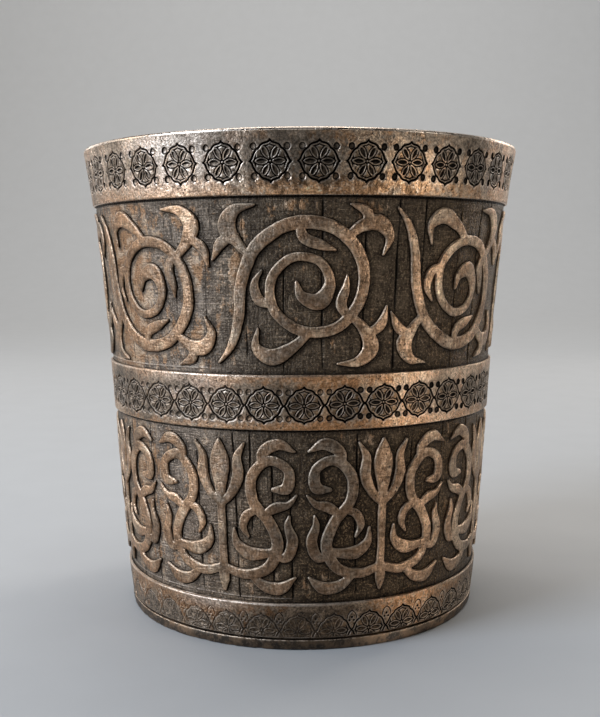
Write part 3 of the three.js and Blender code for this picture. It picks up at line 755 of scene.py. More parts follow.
# ------------------------------------------------------------------ turned pieces with detail
def turned(name, section, cols, shape=None, replaces=None, angle=38):
    """A ring from a closed section [(r, z), ...], anticlockwise with r to the right; shape(theta, r, z, row) may move it
    and returns r, z and the floats."""
    section = np.array(section, float)
    m, n = len(section), len(cols)
    theta = np.tile(cols, m)
    r = np.repeat(section[:, 0], n)
    z = np.repeat(section[:, 1], n)
    row = np.repeat(np.arange(m), n)
    floats = {"hollow_dirt_and_shade": np.zeros(m * n), "wear_and_highlight": np.zeros(m * n), "hollow": np.zeros(m * n), "inner": np.zeros(m * n)}
    if shape:
        theta, r, z, got = shape(theta, r, z, row)
        floats.update(got)
    a = (np.arange(m)[:, None] * n + np.arange(n)[None, :])
    b = np.roll(a, -1, 1)
    c = np.roll(a, -1, 0)
    d = np.roll(b, -1, 0)
    quads = np.stack([a, b, d, c], -1).reshape(-1, 4)
    # unrolled strips
    run = np.concatenate([[0], np.cumsum(np.hypot(*np.diff(np.vstack([section, section[:1]]), axis=0).T))])
    girth = 2 * math.pi * section[:, 0].max()
    k = max(1, int(round(math.sqrt(girth / run[-1]))))
    cuts = [int(round(n * s / k)) for s in range(k + 1)]
    width = np.concatenate([np.diff(cols), [cols[0] + 2 * math.pi - cols[-1]]]) * section[:, 0].max()
    along = np.concatenate([[0], np.cumsum(width)])
    longest = max(along[cuts[s + 1]] - along[cuts[s]] for s in range(k))
    unit = 1.0 / (max(longest, k * (run[-1] + 0.8)) * 1.004 + 0.6)
    strip = np.zeros(n, int)
    for s in range(k):
        strip[cuts[s] : cuts[s + 1]] = s
    u0 = (along[:-1] - along[np.array(cuts)[strip]] + 0.3) * unit
    u1 = u0 + width * unit
    vbase = strip * (run[-1] + 0.8) + 0.3
    va = (vbase[None, :] + run[:-1, None]) * unit
    vb = (vbase[None, :] + run[1:, None]) * unit
    U0, U1 = np.broadcast_to(u0, (m, n)), np.broadcast_to(u1, (m, n))
    places = np.stack([np.stack([U0, va], -1), np.stack([U1, va], -1), np.stack([U1, vb], -1), np.stack([U0, vb], -1)], 2)
    return make(name, on_wall(theta, r, z), [quads], replaces or [name], floats, angle, places.reshape(-1, 2))


# seams of the ground: angle, from, to (z), depth
UPPER_SEAMS = [(-53.1, 56, 88, .16), (-33.5, 60, 87, .08), (-24.39, 55, 76, .14), (-13.7, 58, 88, .17), (-4.28, 55, 78, .18),
               (5.19, 55, 88, .26), (15.69, 55, 88, .30), (24.34, 55, 88, .28), (31.85, 58, 88, .24), (44.5, 55, 86, .2)]
LOWER_SEAMS = [(-47.98, 10, 44, .26), (-38.2, 20, 44, .16), (-29.66, 10, 40, .28), (-23.18, 22, 44, .22), (-18.05, 10, 44, .24),
               (-13.72, 24, 44, .24), (-7.86, 10, 44, .30), (-2.94, 10, 36, .26), (7.4, 10, 30, .18), (14.66, 10, 44, .26),
               (31.54, 10, 44, .24), (43.0, 18, 44, .18), (54.76, 10, 44, .24)]


def more_seams(found, lo, hi, seed):
    """The same kind of seams round the side that the photo doesn't show."""
    rng = np.random.default_rng(seed)
    a = max(s[0] for s in found) + 9
    out = list(found)
    while a < 360 + min(s[0] for s in found) - 7:
        top = hi if rng.random() < 0.75 else hi - rng.uniform(4, 14)
        low = lo if rng.random() < 0.75 else lo + rng.uniform(4, 14)
        out.append((a, low, top, rng.uniform(.16, .30)))
        a += rng.uniform(5.5, 13)
    return out


def build_wall(marks):
    upper = more_seams(UPPER_SEAMS, 55, 88, 11)
    lower = more_seams(LOWER_SEAMS, 10, 44, 12)
    seams = [(math.radians(a), lo, hi, d) for a, lo, hi, d in upper + lower]
    across = np.array([-0.42, -0.2, -0.08, 0.05, 0.2, 0.42]) / 43.0
    fixed = np.sort(np.array([(s[0] + o) % (2 * math.pi) for s in seams for o in across]))
    even = np.linspace(0, 2 * math.pi, 401)[:-1]
    gap = np.abs((even[:, None] - fixed[None] + math.pi) % (2 * math.pi) - math.pi).min(1)
    cols = np.sort(np.concatenate([fixed, even[gap > 0.25 / 43]]))
    cols = cols[np.concatenate([[True], np.diff(cols) > 0.02 / 43])]
    zo = np.concatenate([[2.25, 2.6, 5.5, 9.3, 9.6, 9.75, 10.0, 10.2, 10.32, 10.45, 10.58, 10.7, 10.85], np.arange(11.1, 43.5, 0.55), [43.6, 43.82, 43.98, 44.12, 44.3, 44.6, 49, 54.4, 54.8, 54.95],
                         [55.15, 55.35, 55.49, 55.62, 55.75, 55.87, 56.0], np.arange(56.3, 87.3, 0.55), [87.38, 87.6, 87.77, 87.9, 88.08, 88.5, 93, 98.0, 98.4]])
    zi = np.concatenate([[98.4], np.linspace(97.6, 4.6, 34), [3.9, 2.25]])
    section = [(float(ground(z)), z) for z in zo] + [(float(inside(z)), z) for z in zi]
    n_out = len(zo)

    def shape(theta, r, z, row):
        out = row < n_out
        p = on_wall(theta, r, z)
        field = np.zeros(len(z), bool) | (out & (((z > 9.4) & (z < 44.5)) | ((z > 54.6) & (z < 88.3))))
        h = undulation(p) * field
        hollow_dirt_and_shade, shine = np.zeros(len(z)), np.zeros(len(z))
        th = (theta + math.pi) % (2 * math.pi) - math.pi
        for k, (a, lo, hi, deep) in enumerate(seams):
            bow = np.interp(z, np.linspace(0, 100, 34), 0.20 * np.random.default_rng(100 + k).standard_normal(34).cumsum() * 0.35)
            bow = bow - np.interp((lo + hi) / 2, np.linspace(0, 100, 34), 0.20 * np.random.default_rng(100 + k).standard_normal(34).cumsum() * 0.35)
            d = ((th - a + math.pi) % (2 * math.pi) - math.pi) * 43.0
            near = np.abs(d) < 0.6
            if not near.any():
                continue
            along = smooth(lo - 0.6, lo + 1.5, z) * smooth(hi + 0.6, hi - 1.5, z)
            along = along * (0.72 + 0.28 * np.sin(z * 0.37 + k * 1.7)) * field
            wide = 0.11 + 0.30 * deep
            groove = np.clip(1.3 - np.abs(d + 0.015) / wide, 0, 1)
            h = np.where(near, h - deep * along * groove + 0.08 * along * np.clip(1 - np.abs(d - 0.42) / 0.3, 0, 1), h)
            hollow_dirt_and_shade = np.where(near, np.maximum(hollow_dirt_and_shade, along * min(deep / 0.24, 1.0) * np.clip(1.40 - np.abs(d + 0.015) / wide, 0, 1)), hollow_dirt_and_shade)
            theta = np.where(near, theta + np.clip(bow, -0.5, 0.5) / 43.0 * np.clip(1.6 - np.abs(d) / 0.42, 0, 1), theta)
        # painted shadow against the scrollwork and the hoops: a soft dark border, a darker one on the lower right away
        # from the upper-left lamp, and dark bands along the hoop edges
        painted_contact_shadow = np.zeros(len(z))
        for kind, mid, first in (("vine", UPPER_MID, 0.0), ("palm", LOWER_MID, 22.5)):
            xs, S = marks[kind]["field"]
            rad = float(ground(mid))
            sel = np.nonzero(field & (np.abs(z - mid) < 17))[0]
            a = np.degrees(th[sel]) - first
            cell = np.round(a / 45.0).astype(int)
            x = np.radians(a - cell * 45.0) * rad
            y = z[sel] - mid
            if kind == "vine":
                y = np.where(cell % 2 == 1, -y, y)
            turn = np.where(cell % 2 == 1, -1, 1) if kind == "vine" else 1
            d = sample(S, xs[0], xs[0], xs[1] - xs[0], xs[1] - xs[0], x, y)
            toward_light = sample(S, xs[0], xs[0], xs[1] - xs[0], xs[1] - xs[0], x - 0.34, y + 0.34 * turn)
            painted_contact_shadow[sel] = np.maximum(0.66 * np.exp(-(np.clip(-d, 0, 9) / 0.50) ** 2), np.exp(-(np.clip(-toward_light, 0, 9) / 0.42) ** 2))
        for zb in (9.67, 44.24, 54.86, 88.03):
            painted_contact_shadow = np.maximum(painted_contact_shadow, np.exp(-((z - zb) / 0.8) ** 2) * field)
        for zb, lo, hi in ((55.60, -78, -22), (10.45, -78, -4)):  # scribed lines
            there = smooth(lo - 6, lo + 2, np.degrees(th)) * smooth(hi + 3, hi - 6, np.degrees(th)) * field
            at = z - zb - 0.05 * np.sin(th * 9)
            h = h + there * (0.05 * np.clip(1 - np.abs(at - 0.24) / 0.2, 0, 1) - 0.06 * np.clip(1 - np.abs(at) / 0.16, 0, 1))
            hollow_dirt_and_shade = np.maximum(hollow_dirt_and_shade, 0.42 * there * np.clip(1.0 - np.abs(at) / 0.15, 0, 1))
            # painted highlight along the raised ridge beside each scribed line
            shine = np.maximum(shine, 0.62 * there * np.clip(1 - np.abs(at - 0.24) / 0.18, 0, 1))
            painted_contact_shadow = painted_contact_shadow * (1 - 0.75 * there * np.clip(1.5 - np.abs(at) / 0.7, 0, 1))
        # A shallow groove under each hoop, painted black as the shadow line beneath it.
        for zb in (44.10, 87.89):  # undercut below the hoops
            slit = smooth(0.42, 0.12, zb - z) * smooth(0.3, 0.1, z - zb) * out
            h = h - 0.14 * slit
            hollow_dirt_and_shade = np.maximum(hollow_dirt_and_shade, slit)
        inner = ~out
        h = h + np.where(inner, 0.05 * fbm(p, 9.0, 53, 2) + 0.02 * np.sin(z * 2.1) * 0.3, 0)
        return theta, r + h, z, {"hollow_dirt_and_shade": np.clip(hollow_dirt_and_shade, 0, 1), "hollow": np.clip(hollow_dirt_and_shade, 0, 1), "wear_and_highlight": shine,
                                 "painted_contact_shadow": painted_contact_shadow * (1 - shine), "lining": inner.astype(float)}

    return turned("wall", section, cols, shape, angle=60)


def build_foot():
    r = lambda z: float(band(z))
    sec = [(34.9, 0), (36.6, 0), (r(0) - 0.40, 0), (r(0) - 0.16, 0.04), (r(0) - 0.04, 0.2), (r(0.5) + 0.02, 0.5), (r(0.9) + 0.04, 0.9),
           (r(1.3) + 0.05, 1.3), (r(1.6) + 0.05, 1.6), (r(1.85) + 0.02, 1.85), (r(2.0) - 0.05, 2.02), (r(2.1) - 0.18, 2.1),
           (r(2.1) - 0.6, 2.1), (36.5, 2.1), (34.6, 2.1), (34.6, 0.3), (34.7, 0.1)]
    cols = np.linspace(0, 2 * math.pi, 721)[:-1]

    def shape(theta, r0, z0, row):
        p = on_wall(theta, r0, z0)
        outer = (row >= 3) & (row <= 11)
        bead = (row >= 8) & (row <= 11)
        low = (row >= 2) & (row <= 5)
        chip = np.clip(noise(p * (1, 1, 0.2), 1.4, 61) - 0.35, 0, 1)
        big = np.clip(noise(p * (1, 1, 0.2), 5.0, 63) - 0.25, 0, 1)
        r1 = r0 + outer * (0.05 * fbm(p, 4.0, 65, 2)) - bead * (0.16 * chip) - low * (0.22 * chip + 0.10 * big)
        z1 = z0 - bead * 0.16 * chip + low * (row > 2) * (0.16 * chip + 0.10 * big)
        z1 = np.maximum(z1, 0)
        return theta, r1, z1, {"hollow_dirt_and_shade": np.clip(outer * chip * 0.9, 0, 1), "hollow": outer * chip,
                               "wear_and_highlight": np.select([row == 9, row == 10, row == 11], [0.30, 1.0, 0.6], 0.0)}

    return turned("foot_ring", sec, cols, shape, angle=45)


def build_floor():
    """The let-in floor: a slightly dished disc with a turned centre mark."""
    rad = float(inside(2.25)) - 0.12
    cols = np.linspace(0, 2 * math.pi, 241)[:-1]
    n = len(cols)
    top = [(rad, FLOOR_TOP - 0.12), (rad - 0.15, FLOOR_TOP)] + [(q, FLOOR_TOP - 0.16 * (1 - (q / rad) ** 2)) for q in np.linspace(rad - 1.2, 1.6, 26)] + [
        (1.1, FLOOR_TOP - 0.17), (0.6, FLOOR_TOP - 0.25)]
    low = [(0.6, 2.33), (1.1, 2.27)] + [(q, 2.25 + 0.0 * q) for q in np.linspace(1.6, rad - 0.3, 24)] + [(rad, 2.32)]
    rows = top + low
    pts, hollow_dirt_and_shade = [], []
    for k, (r, z) in enumerate(rows):
        p = on_wall(cols, np.full(n, r), np.full(n, z))
        wav = 0.03 * fbm(p, 7.0, 71, 2) * (1 if k > 1 and k < len(top) else 0)
        pts.append(on_wall(cols, np.full(n, r), z + wav))
        hollow_dirt_and_shade.append(np.full(n, 0.6 if r > rad - 0.6 else 0.0))
    quads = []
    for k in range(len(rows)):
        if k == len(top) - 1:
            continue
        a = k * n + np.arange(n)
        b = ((k + 1) % len(rows)) * n + np.arange(n)
        quads.append(np.stack([a, b, np.roll(b, -1), np.roll(a, -1)], 1)[:, ::-1])
    verts = np.vstack(pts + [np.array([[0, 0, FLOOR_TOP - 0.27], [0, 0, 2.36]])])
    m = len(rows) * n
    a = (len(top) - 1) * n + np.arange(n)
    b = len(top) * n + np.arange(n)
    fans = [np.stack([a, np.roll(a, -1), np.full(n, m)], 1), np.stack([np.roll(b, -1), b, np.full(n, m + 1)], 1)]
    hollow_dirt_and_shade = np.concatenate(hollow_dirt_and_shade + [np.array([0.3, 0.3])])
    # laid flat: top in the left disc, underside in the right one
    sc = 0.235 / rad
    quads = np.concatenate(quads)
    out = []
    for q, f in ((quads, None), (fans[0], 0.0), (fans[1], 1.0)):
        side = np.where(q.min(1) // n < len(top), 0.0, 1.0) if f is None else np.full(len(q), f)
        xy = verts[q.reshape(-1)]
        sd = np.repeat(side, q.shape[1])
        out.append(np.stack([0.25 + 0.5 * sd + xy[:, 0] * sc, 0.5 + xy[:, 1] * sc], 1))
    return make("base_plate", verts, [quads] + fans, ["base_plate"],
                {"hollow_dirt_and_shade": hollow_dirt_and_shade, "hollow": hollow_dirt_and_shade, "wear_and_highlight": 0 * hollow_dirt_and_shade, "inner": 0 * hollow_dirt_and_shade, "lining": 1 + 0 * hollow_dirt_and_shade, "painted_contact_shadow": 0 * hollow_dirt_and_shade}, 40, np.concatenate(out))


marks = {"vine": stamp(VINE), "palm": stamp(PALMETTE)}
pieces = {}
pieces["wall"] = build_wall(marks)
pieces["foot_ring"] = build_foot()
pieces["base_plate"] = build_floor()
for k in range(8):
    pieces[f"vine_scroll_{k + 1}"] = scroll(f"vine_scroll_{k + 1}", marks["vine"], 45.0 * k, UPPER_MID, k % 2 == 1, 200 + 13 * k)
    pieces[f"palmette_{k + 1}"] = scroll(f"palmette_{k + 1}", marks["palm"], 22.5 + 45.0 * k, LOWER_MID, False, 400 + 13 * k)
pieces["rim_band"] = hoop("rim_band", 88.17, 99.3, 93.98, spaced(RIM_AT, ROSETTES), 3.76, 3.70,
                          [(3.06, 2.62), (3.06, -2.62)], 0.62, 0.30, rim_rows(), 3.95, 501, groove=0.19, tall=1.12,
                          floor_painted_light=(0.36, 0.22), floor_painted_light_lit_side=(0.50, 0.50))
pieces["waist_band"] = hoop("waist_band", WAIST_BAND[0] + 0.14, WAIST_BAND[1] - 0.14, 49.25, spaced(WAIST_AT, ROSETTES),
                            3.88, 3.52, [(3.07, 2.54), (3.07, -2.54)], 0.64, 0.30, hoop_rows(WAIST_BAND[0] + 0.14, WAIST_BAND[1] - 0.14), 0, 601,
                            groove=0.195, floor_painted_light=(0.32, 0.20), floor_painted_light_lit_side=(0.50, 0.52), lip_wear_and_highlight=0.66,
                            ink=lambda a: 1 - 0.26 * smooth(0.10, -0.45, np.sin(a)), drop=lambda a: 0.28 * smooth(0.26, 0.02, np.sin(a)))
pieces["base_band"] = hoop("base_band", BASE_BAND[0] + 0.14, BASE_BAND[1] - 0.14, 3.85, spaced(BASE_AT, ROSETTES),
                           3.64, 3.72, [(9.0, 9.0)], 0.4, 0.17, hoop_rows(BASE_BAND[0] + 0.14, BASE_BAND[1] - 0.14), 0, 701,
                           worn=0.45, extra_cut=base_arch, ink=lambda a: 0.46 + 0.54 * smooth(0.02, 0.26, np.sin(a)), lip_wear_and_highlight=0.78, faint=0.36)


# ------------------------------------------------------------------ finishes
class Graph:
    """Short names for shader nodes."""

    def __init__(self, name):
        self.mat = bpy.data.materials.new(name)
        self.mat.use_nodes = True
        self.t = self.mat.node_tree
        self.t.nodes.clear()

    def node(self, kind, **put):
        n = self.t.nodes.new(kind)
        for k, v in put.items():
            setattr(n, k, v)
        return n

    def wire(self, value, socket):
        if isinstance(value, bpy.types.NodeSocket):
            self.t.links.new(value, socket)
        else:
            socket.default_value = value

    def math(self, op, a, b=0.0, c=None, clamp=False):
        n = self.node("ShaderNodeMath", operation=op, use_clamp=clamp)
        self.wire(a, n.inputs[0])
        self.wire(b, n.inputs[1])
        if c is not None:
            self.wire(c, n.inputs[2])
        return n.outputs[0]

    def add(self, a, b):
        return self.math("ADD", a, b)

    def mul(self, a, b):
        return self.math("MULTIPLY", a, b)

    def span(self, v, lo, hi, a=0.0, b=1.0):
        n = self.node("ShaderNodeMapRange", interpolation_type="SMOOTHSTEP")
        self.wire(v, n.inputs[0])
        for i, x in zip((1, 2, 3, 4), (lo, hi, a, b)):
            n.inputs[i].default_value = x
        return n.outputs[0]

    def mix(self, fac, a, b):
        n = self.node("ShaderNodeMix", data_type="RGBA")
        self.wire(fac, n.inputs[0])
        self.wire(a if isinstance(a, bpy.types.NodeSocket) else (*a, 1.0), n.inputs[6])
        self.wire(b if isinstance(b, bpy.types.NodeSocket) else (*b, 1.0), n.inputs[7])
        return n.outputs[2]

    def shade(self, col, fac):
        """Colour times a number."""
        n = self.node("ShaderNodeVectorMath", operation="SCALE")
        self.wire(col, n.inputs[0])
        self.wire(fac, n.inputs[3])
        return n.outputs[0]

    def attr(self, name):
        return self.node("ShaderNodeAttribute", attribute_name=name).outputs["Fac"]

    def coords(self):
        """Object space in mm, and the same unrolled: along the girth, up, and out."""
        o = self.node("ShaderNodeTexCoord").outputs["Object"]
        v = self.node("ShaderNodeVectorMath", operation="SCALE")
        self.wire(o, v.inputs[0])
        v.inputs[3].default_value = 1000.0
        mm = v.outputs[0]
        s = self.node("ShaderNodeSeparateXYZ")
        self.wire(mm, s.inputs[0])
        back = self.math("MULTIPLY", s.outputs[1], -1.0)
        a = self.math("ARCTAN2", s.outputs[0], back)
        c = self.node("ShaderNodeCombineXYZ")
        self.wire(self.mul(a, 43.0), c.inputs[0])
        self.wire(s.outputs[2], c.inputs[1])
        self.wire(0.0, c.inputs[2])
        return mm, c.outputs[0], self.mul(a, 57.29578), s.outputs[2]

    def scaled(self, v, x, y, z):
        n = self.node("ShaderNodeVectorMath", operation="MULTIPLY")
        self.wire(v, n.inputs[0])
        n.inputs[1].default_value = (x, y, z)
        return n.outputs[0]

    def cloud(self, v, size, detail=3.0, rough=0.55, warp=0.0):
        n = self.node("ShaderNodeTexNoise")
        self.wire(v, n.inputs["Vector"])
        n.inputs["Scale"].default_value = 1.0 / size
        n.inputs["Detail"].default_value = detail
        n.inputs["Roughness"].default_value = rough
        n.inputs["Distortion"].default_value = warp
        return n.outputs["Fac"]

    def cells(self, v, size, feature="F1", rand=1.0):
        n = self.node("ShaderNodeTexVoronoi", feature=feature)
        self.wire(v, n.inputs["Vector"])
        n.inputs["Scale"].default_value = 1.0 / size
        n.inputs["Randomness"].default_value = rand
        return n.outputs["Distance"]

    def bump(self, height, dist, strength=1.0, normal=None):
        n = self.node("ShaderNodeBump")
        n.inputs["Strength"].default_value = strength
        n.inputs["Distance"].default_value = dist * MM
        self.wire(height, n.inputs["Height"])
        if normal is not None:
            self.wire(normal, n.inputs["Normal"])
        return n.outputs[0]

    def finish(self, color, metal, rough, normal, specular=0.5):
        p = self.node("ShaderNodeBsdfPrincipled")
        p.inputs["Specular IOR Level"].default_value = specular
        self.wire(color, p.inputs["Base Color"])
        self.wire(metal, p.inputs["Metallic"])
        self.wire(rough, p.inputs["Roughness"])
        self.wire(normal, p.inputs["Normal"])
        o = self.node("ShaderNodeOutputMaterial")
        self.t.links.new(p.outputs[0], o.inputs[0])
        return self.mat


def blob(g, angle, z, at, height, wide, tall):
    """1 near a place on the wall, falling off over wide degrees and tall mm."""
    a = g.math("DIVIDE", g.add(angle, -at), wide)
    b = g.math("DIVIDE", g.add(z, -height), tall)
    d = g.add(g.mul(a, a), g.mul(b, b))
    return g.math("POWER", 2.718, g.mul(d, -1.0))


ORANGE = (0.44, 0.245, 0.125)
TAN = (0.60, 0.430, 0.290)
BRIGHT = (0.72, 0.555, 0.410)
SILVER = (0.66, 0.585, 0.515)
EDGE_WEAR_AND_HIGHLIGHT = (0.86, 0.71, 0.575)
GOLD_D = (0.44, 0.262, 0.150)
GOLD_L = (0.60, 0.425, 0.280)
PATINA_D = (0.106, 0.080, 0.057)
PATINA_L = (0.236, 0.179, 0.128)
OXIDE = (0.020, 0.016, 0.013)
BLACK = (0.0075, 0.0058, 0.0045)


def around_front(g, angle, z, spots):
    """Sum of soft patches (angle, z, wide, tall, strength)."""
    total = None
    for at, height, wide, tall, strength in spots:
        b = g.mul(blob(g, angle, z, at, height, wide, tall), strength)
        total = b if total is None else g.add(total, b)
    return total


def metal_mix(g, t, mm, small, fine, lo=0.44, hi=0.60, pale=None, warm=None, lift=0.6, pair=(ORANGE, TAN), grain=(0.55, 1.45)):
    """Bare copper-brown metal where t is low, patina where it is high."""
    tint = g.cloud(mm, 4.3, 3.0, 0.6)
    if warm is not None:
        tint = g.add(tint, g.mul(warm, -0.2))
    bare = g.mix(g.span(tint, 0.38, 0.62), *pair)
    bare = g.mix(g.span(small, 0.50, 0.70, 0.0, lift), bare, BRIGHT)
    if pale is not None:
        bare = g.mix(pale, bare, SILVER)
    patina = g.mix(g.span(small, 0.34, 0.66), PATINA_D, PATINA_L)
    cover = g.span(t, lo, hi)
    col = g.mix(cover, bare, patina)
    speck = g.mul(g.span(fine, 0.30, 0.70, *grain), g.span(small, 0.32, 0.68, 0.86, 1.14))
    return g.shade(col, speck), cover


def pitted(g, mm, flat, size, lo, hi, where_size):
    d = g.cells(mm, size)
    pit = g.span(d, lo, hi, 1.0, 0.0)
    return g.mul(pit, g.span(g.cloud(mm, where_size, 2.0), 0.44, 0.58))


def hoop_finish(name, z_mid, half, patina, zoned, gloss, spots, pale=((0, 0, 1, 1, 0.0),), warm=((0, 0, 1, 1, 0.0),), painted_light_and_shade=((0, 0, 1, 1, 0.0),),
                fills=((0, 0, 1, 1, 0.0),), brown=((0, 0, 1, 1, 0.0),), mottle=((0, 0, 1, 1, 0.0),)):
    g = Graph(name)
    mm, flat, angle, z = g.coords()
    hollow_dirt_and_shade, wear_and_highlight, inner = g.attr("hollow_dirt_and_shade"), g.attr("wear_and_highlight"), g.attr("inner")
    off = g.math("ABSOLUTE", g.add(z, -z_mid))
    zone = g.span(off, half * 0.45, half * 0.95, 1.0, 0.0)
    big = g.cloud(mm, 13.0, 2.0, 0.5)
    mid = g.cloud(mm, 3.0, 3.0, 0.6)
    small = g.cloud(mm, 1.0, 3.0, 0.65)
    fine = g.cloud(mm, 0.40, 2.0, 0.70)
    streak = g.cloud(g.scaled(flat, 1.0, 0.22, 1.0), 0.65, 3.0, 0.65)
    t = g.add(g.mul(big, 0.42), g.mul(mid, 0.30))
    t = g.add(t, g.mul(small, 0.28))
    t = g.add(t, g.mul(g.add(streak, -0.5), 0.20))
    t = g.add(t, g.add(g.mul(zone, zoned), patina))
    t = g.add(t, g.mul(inner, 0.075))
    t = g.add(t, around_front(g, angle, z, spots))
    # Silvery patches: partly worn metal, partly a painted sheen where the left lamp's highlight falls.
    col, cover = metal_mix(g, t, mm, small, fine, pale=g.math("MINIMUM", around_front(g, angle, z, pale), 0.9),
                           warm=around_front(g, angle, z, warm))
    # Painted light and shade: patches lighter or darker by side and height, where the lamps light the band more or
    # less.
    col = g.shade(col, g.add(1.0, around_front(g, angle, z, painted_light_and_shade)))
    col = g.shade(col, g.add(1.0, g.mul(inner, g.mul(around_front(g, angle, z, fills), -1.0))))
    uneven = g.span(g.add(g.mul(mid, 0.6), g.mul(streak, 0.4)), 0.38, 0.62, -0.42, 0.50)
    col = g.shade(col, g.add(1.0, g.mul(uneven, around_front(g, angle, z, mottle))))
    pit = pitted(g, mm, flat, 0.72, 0.15, 0.26, 3.5)
    col = g.mix(g.mul(pit, 0.85), col, OXIDE)
    browner = around_front(g, angle, z, brown)
    col = g.mix(browner, col, g.scaled(col, 0.97, 0.845, 0.72))
    col = g.mix(g.mul(inner, around_front(g, angle, z, ((26, z_mid, 38, 30, 0.9),))), col, g.scaled(col, 1.08, 0.95, 0.76))
    # Bright rubbed edges with a painted highlight.
    rub = g.mul(wear_and_highlight, g.span(fine, 0.30, 0.52, 0.45, 1.0))
    col = g.mix(g.mul(rub, 0.85), col, EDGE_WEAR_AND_HIGHLIGHT)
    # Cuts are dark with oxide in the hollows; painted crescent shadows and painted shade on walls turned from the lamp
    # come through the same mask.
    col = g.mix(g.span(hollow_dirt_and_shade, 0.10, 0.80), col, g.mix(g.span(hollow_dirt_and_shade, 0.35, 0.95), OXIDE, BLACK))
    metal = g.math("MAXIMUM", g.span(cover, 0.0, 1.0, 1.0, 0.8), g.span(hollow_dirt_and_shade, 0.3, 0.8))
    rough = g.add(g.span(hollow_dirt_and_shade, 0.0, 0.8, gloss, 0.60), g.add(g.mul(cover, 0.07), g.mul(g.add(small, -0.5), 0.30)))
    rough = g.math("MAXIMUM", g.add(rough, g.mul(wear_and_highlight, -0.10)), 0.20)
    h = g.add(g.mul(fine, 1.0), g.mul(streak, 0.7))
    h = g.add(h, g.mul(small, 1.0))
    h = g.mul(g.add(h, g.mul(pit, -1.2)), g.span(wear_and_highlight, 0.2, 0.9, 1.0, 0.35))
    n = g.bump(h, 0.11, 1.0)
    return g.finish(col, metal, rough, n)


def relief_finish(name):
    g = Graph(name)
    mm, flat, angle, z = g.coords()
    hollow_dirt_and_shade, wear_and_highlight = g.attr("hollow_dirt_and_shade"), g.attr("wear_and_highlight")
    big = g.cloud(mm, 13.0, 2.0, 0.5)
    mid = g.cloud(mm, 2.6, 3.0, 0.6)
    small = g.cloud(mm, 0.9, 3.0, 0.65)
    fine = g.cloud(mm, 0.40, 2.0, 0.70)
    chisel = g.cloud(g.scaled(flat, 1.0, 0.30, 1.0), 0.55, 3.0, 0.6, 0.6)
    cross = g.cloud(g.scaled(flat, 0.25, 1.0, 1.0), 0.50, 2.0, 0.6, 0.4)
    t = g.add(g.mul(big, 0.50), g.mul(mid, 0.28))
    t = g.add(t, g.mul(small, 0.22))
    t = g.add(t, around_front(g, angle, z, ((-8, 50, 20, 60, 0.035), (34, 60, 17, 50, -0.045), (-45, 50, 16, 60, -0.03))))
    warm = around_front(g, angle, z, ((5, 26, 28, 22, 1.0), (12, 70, 24, 20, 0.6), (36, 20, 14, 18, 0.6), (-48, 24, 16, 24, 0.7), (-42, 72, 20, 22, 1.0)))
    col, cover = metal_mix(g, t, mm, small, fine, 0.40, 0.68, lift=0.20, warm=warm, pair=(GOLD_D, GOLD_L), grain=(0.72, 1.26))
    col = g.shade(col, g.span(g.cloud(mm, 5.5, 2.0, 0.55), 0.30, 0.70, 0.74, 1.28))
    mottled = g.mul(g.span(g.add(g.mul(mid, 0.6), g.mul(small, 0.4)), 0.40, 0.60, -0.34, 0.34), around_front(g, angle, z, ((30, 50, 30, 70, 1.0), (160, 50, 60, 90, 0.8), (-160, 50, 60, 90, 0.8))))
    col = g.shade(col, g.add(1.0, mottled))
    marks = g.mul(g.span(chisel, 0.34, 0.54, 0.64, 1.10), g.span(cross, 0.34, 0.50, 0.74, 1.05))
    col = g.shade(col, marks)
    pit = g.mul(pitted(g, mm, flat, 0.80, 0.14, 0.25, 3.0), g.span(around_front(g, angle, z, ((34, 50, 26, 90, 1.0), (160, 50, 60, 90, 0.8), (-160, 50, 60, 90, 0.8))), 0.1, 0.6, 0.35, 1.0))
    col = g.mix(g.mul(pit, 0.85), col, OXIDE)
    # Bright edges: rubbed metal with a painted highlight on the edges facing the upper-left lamp.
    col = g.mix(g.mul(wear_and_highlight, g.span(fine, 0.28, 0.50, 0.40, 0.90)), col, (0.84, 0.67, 0.50))
    # Black: dirt in hollows, plus the painted contact shadow of the skirt and the painted shade of edges turned from
    # the lamp.
    col = g.mix(g.span(hollow_dirt_and_shade, 0.15, 0.8, 0.0, 0.98), col, BLACK)
    # Painted light and shade: lighter or darker by side and height, as the lamps fall.
    col = g.shade(col, g.add(1.0, around_front(g, angle, z, ((6, 24, 24, 18, -0.32), (38, 24, 12, 18, 0.30), (34, 72, 10, 20, 0.20), (54, 72, 14, 24, -0.12), (-25, 50, 12, 50, 0.10), (-48, 74, 13, 20, -0.16), (-40, 24, 20, 18, 0.10), (-18, 24, 12, 18, 0.06)))))
    metal = g.math("MAXIMUM", g.span(cover, 0.0, 1.0, 1.0, 0.8), g.span(hollow_dirt_and_shade, 0.3, 0.8))
    rough = g.add(g.span(hollow_dirt_and_shade, 0.0, 0.8, 0.36, 0.60), g.add(g.mul(cover, 0.08), g.mul(g.add(small, -0.5), 0.30)))
    h = g.add(g.mul(fine, 0.9), g.add(g.mul(chisel, 1.3), g.mul(pit, -1.2)))
    h = g.add(h, g.mul(cross, 0.9))
    return g.finish(col, metal, rough, g.bump(h, 0.13, 1.0))


